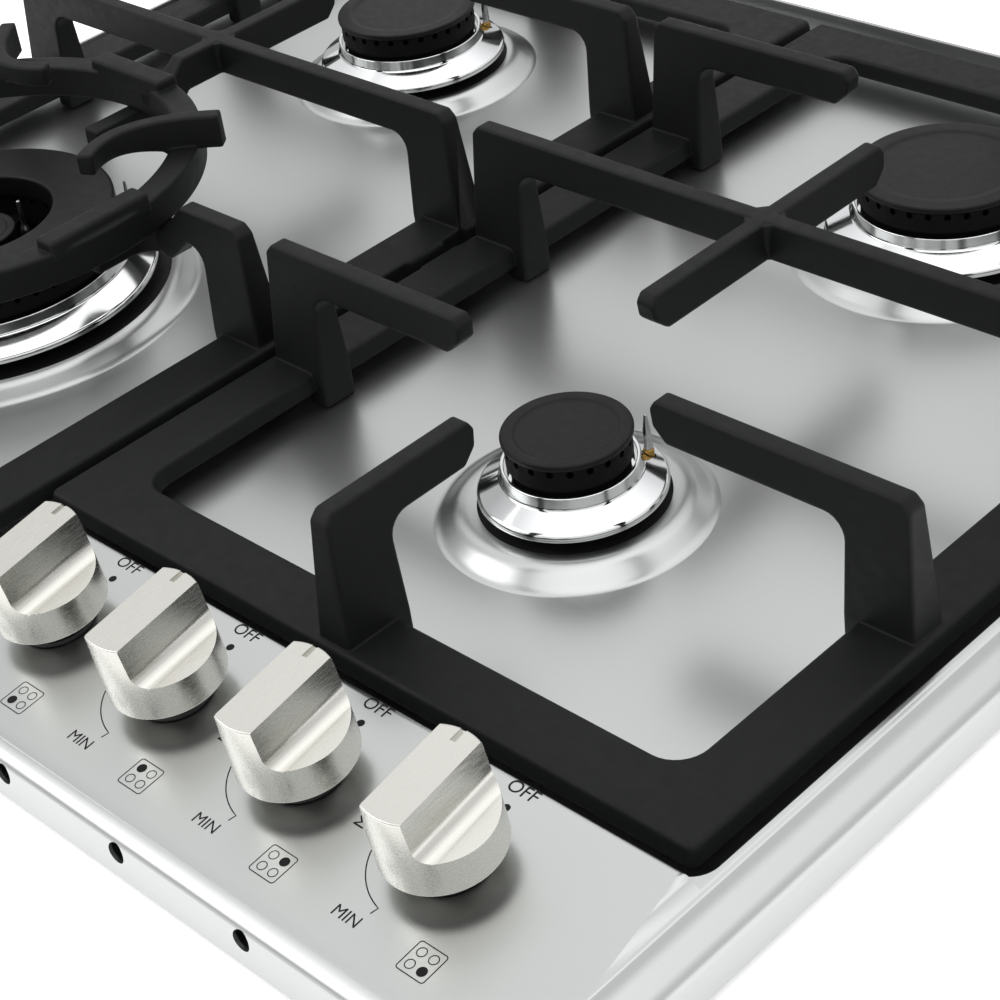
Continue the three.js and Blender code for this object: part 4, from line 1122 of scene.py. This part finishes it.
def frame_line(half, radius, width):
    bm = bmesh.new()
    corners = rectangle(-half, half, -half, half)
    outer = loop(bm, [(p.x, p.y, 0) for p in outline(corners, radius, 0, 6)])
    inner = loop(bm, [(p.x, p.y, 0) for p in outline(corners, radius, width, 6)])
    bmesh.ops.bridge_loops(bm, edges=outer + inner)
    return bm


def word(text, height):
    """A word as flat faces, centred, its capitals of the given height."""
    curve = bpy.data.curves.new(text, "FONT")
    curve.body, curve.align_x, curve.align_y, curve.size = text, "CENTER", "CENTER", height / 0.7
    work = bpy.data.objects.new(text, curve)
    bpy.context.scene.collection.objects.link(work)
    bpy.context.view_layer.update()
    mesh = bpy.data.meshes.new_from_object(work.evaluated_get(bpy.context.evaluated_depsgraph_get()))
    bm = bmesh.new()
    bm.from_mesh(mesh)
    bpy.data.objects.remove(work)
    bpy.data.curves.remove(curve)
    bpy.data.meshes.remove(mesh)
    return bm


def knob_prints(burner):
    """The marks round one knob: a dot and a word at OFF, the arc, MAX, MIN and the burner's place."""
    arc = [polar(21.5, angle) for angle in range(178, 259, 4)] + [polar(23.9, 258)]
    marks = [
        moved(disc(1.25), shift(0, 21)),
        moved(word("OFF", 4.1), shift(0, 27.6)),
        stroke(arc, 0.35),
        moved(word("MAX", 3.6), turn(90), shift(-28.5, 0)),
        moved(word("MIN", 3.6), shift(-9.5, -27.5)),
        moved(frame_line(4.9, 1.0, 0.3), shift(16.6, -26.5)),
    ]
    for column, side in ((-2.1, "left"), (2.1, "right")):
        for row, end in ((-2.1, "front"), (2.1, "rear")):
            spot = disc(1.5) if burner == f"{end}_{side}" else flat_ring(1.5, 0.28)
            marks.append(moved(spot, shift(16.6 + column, -26.5 + row)))
    return joined(*marks)


class COOKTOP_OT_prints(bpy.types.Operator):
    """Prints the marks round the knobs on the panel"""

    bl_idname = "cooktop.prints"
    bl_label = "Panel prints"

    def execute(self, context):
        marks = [moved(knob_prints(name), shift(x, 0, 0.04), on_panel()) for name, x in KNOBS.items()]
        piece(context.scene, "panel_prints", joined(*marks), "ink", "cooktop")
        return {"FINISHED"}


# ------------------------------------------------------------------ inner pieces and stage

CAD_FINISHES = {
    "bottom_tray": "zinc",
    "worktop_gasket": "foam",
    "clamp_": "zinc",
    "gas_rail": "zinc",
    "gas_inlet": "brass",
    "tap_": "brass",
    "control_stem_": "steel",
    "supply_pipe_": "aluminium",
    # The cups' near-black finish is painted shade for the gaps under the trim rings.
    "burner_cup_": "painted_shade_casting",
    "ignition_module": "nylon",
    "terminal_box": "nylon",
}
WORKTOP = 45.8  # level of the pale surface that the hob is let into


class COOKTOP_OT_inner_pieces(bpy.types.Operator):
    """Gives the tray, taps, pipes and cups their finishes"""

    bl_idname = "cooktop.inner_pieces"
    bl_label = "Inner pieces"

    def execute(self, context):
        for name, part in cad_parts.items():
            for start, look in CAD_FINISHES.items():
                if name.startswith(start):
                    part.data.materials.clear()
                    part.data.materials.append(finish(context.scene, look))
        return {"FINISHED"}


class COOKTOP_OT_stage(bpy.types.Operator):
    """Sets the pale surface, the soft lamps and the camera"""

    bl_idname = "cooktop.stage"
    bl_label = "Stage"

    def execute(self, context):
        scene = context.scene
        self.floor(scene)
        self.lamps(scene)
        self.camera(scene)
        scene.view_settings.view_transform = "Standard"
        return {"FINISHED"}

    def floor(self, scene):
        bm = bmesh.new()
        outer = loop(bm, [(x, y, WORKTOP) for x, y in rectangle(-6000, 6000, -6000, 6000)])
        inner = loop(bm, [(p.x, p.y, WORKTOP) for p in outline(rectangle(-280, 280, -242, 242), 8)])
        bmesh.ops.triangle_fill(bm, use_beauty=True, edges=outer + inner)
        bmesh.ops.recalc_face_normals(bm, faces=bm.faces)
        bmesh.ops.scale(bm, vec=(MM, MM, MM), verts=bm.verts)
        mesh = bpy.data.meshes.new("worktop")
        bm.to_mesh(mesh)
        bm.free()
        made, tree, shader = surface("pale_worktop", roughness=0.7)
        shader.inputs["Base Color"].default_value = (*scene.hob_stage.floor, 1)
        # Seen directly or mirrored it glows like the paper sweep of a studio; it lights nothing.
        path = node(tree, "ShaderNodeLightPath")
        glow = ranged(tree, path.outputs["Is Diffuse Ray"], 0, 1, 0.42, 0)
        tree.links.new(glow, shader.inputs["Emission Strength"])
        shader.inputs["Emission Color"].default_value = (1, 1, 1, 1)
        mesh.materials.append(made)
        floor = bpy.data.objects.new("worktop", mesh)
        scene.collection.objects.link(floor)

    def lamps(self, scene):
        world = bpy.data.worlds.new("soft_room")
        world.use_nodes = True
        scene.world = world
        tree = world.node_tree
        back = tree.nodes["Background"]
        back.inputs["Color"].default_value = (1, 1, 1, 1)
        # White for the camera; for the surfaces a room that is brighter overhead and to the right.
        path = node(tree, "ShaderNodeLightPath")
        place = node(tree, "ShaderNodeTexCoord").outputs["Generated"]
        way = node(tree, "ShaderNodeSeparateXYZ", {0: place}).outputs
        height = ranged(tree, way["Z"], 0.52, 0.95, 0.6, 1.15)
        side = ranged(tree, way["X"], -0.7, -0.1, 0.85, 1.4)
        room = node(tree, "ShaderNodeMath", {0: height, 1: side}, operation="MULTIPLY").outputs[0]
        level = ranged(tree, path.outputs["Is Camera Ray"], 0, 1, room, 1)
        tree.links.new(level, back.inputs["Strength"])
        for name, at, size, power in (
            ("key_softbox", (-1.3, -1.3, 1.5), 1.4, 1.5),
            ("rear_softbox", (-1.5, 1.0, 1.3), 2.0, 0.5),
        ):
            light = bpy.data.lights.new(name, "AREA")
            light.shape, light.size, light.energy = "SQUARE", size, scene.hob_stage.key_power * power
            lamp = bpy.data.objects.new(name, light)
            lamp.location = at
            lamp.rotation_euler = (Vector((0, 0, 0.06)) - Vector(at)).to_track_quat("-Z", "Y").to_euler()
            scene.collection.objects.link(lamp)

    def camera(self, scene):
        yaw, pitch, roll = (math.radians(a) for a in (49.15, -35.29, -8.64))
        ahead = Vector((-math.sin(yaw) * math.cos(pitch), math.cos(yaw) * math.cos(pitch), math.sin(pitch)))
        level = ahead.cross(Vector((0, 0, 1))).normalized()
        upright = level.cross(ahead)
        right = level * math.cos(roll) + upright * math.sin(roll)
        up = upright * math.cos(roll) - level * math.sin(roll)
        data = bpy.data.cameras.new("photo_view")
        data.lens, data.sensor_width = 83.0, 36
        data.shift_x, data.shift_y = -0.00485, 0.00509
        data.clip_start, data.clip_end = 0.01, 50
        camera = bpy.data.objects.new("photo_view", data)
        facing = Matrix((right, up, -ahead)).transposed().to_4x4()
        camera.matrix_world = shift(0.55794, -0.46099, 0.47112) @ facing
        scene.collection.objects.link(camera)
        scene.camera = camera


STEPS = (
    COOKTOP_OT_stage,
    COOKTOP_OT_inner_pieces,
    COOKTOP_OT_steel_top,
    COOKTOP_OT_burners,
    COOKTOP_OT_castings,
    COOKTOP_OT_knobs,
    COOKTOP_OT_prints,
)


class COOKTOP_PT_panel(bpy.types.Panel):
    """Lists the steps and their settings"""

    bl_label = "Gas cooktop"
    bl_idname = "COOKTOP_PT_panel"
    bl_space_type = "VIEW_3D"
    bl_region_type = "UI"
    bl_category = "Cooktop"

    def draw(self, context):
        for name, group in GROUPS.items():
            for key in group.__annotations__:
                self.layout.prop(getattr(context.scene, name), key)
        for step in STEPS:
            self.layout.operator(step.bl_idname)


def register():
    for cls in (*GROUPS.values(), *STEPS, COOKTOP_PT_panel):
        bpy.utils.register_class(cls)
    for name, group in GROUPS.items():
        setattr(bpy.types.Scene, name, bpy.props.PointerProperty(type=group))


def unregister():
    for name in GROUPS:
        delattr(bpy.types.Scene, name)
    for cls in (COOKTOP_PT_panel, *reversed(STEPS), *GROUPS.values()):
        bpy.utils.unregister_class(cls)


def main():
    register()
    for step in STEPS:
        group, name = step.bl_idname.split(".")
        getattr(getattr(bpy.ops, group), name)()


if __name__ == "__main__":
    main()
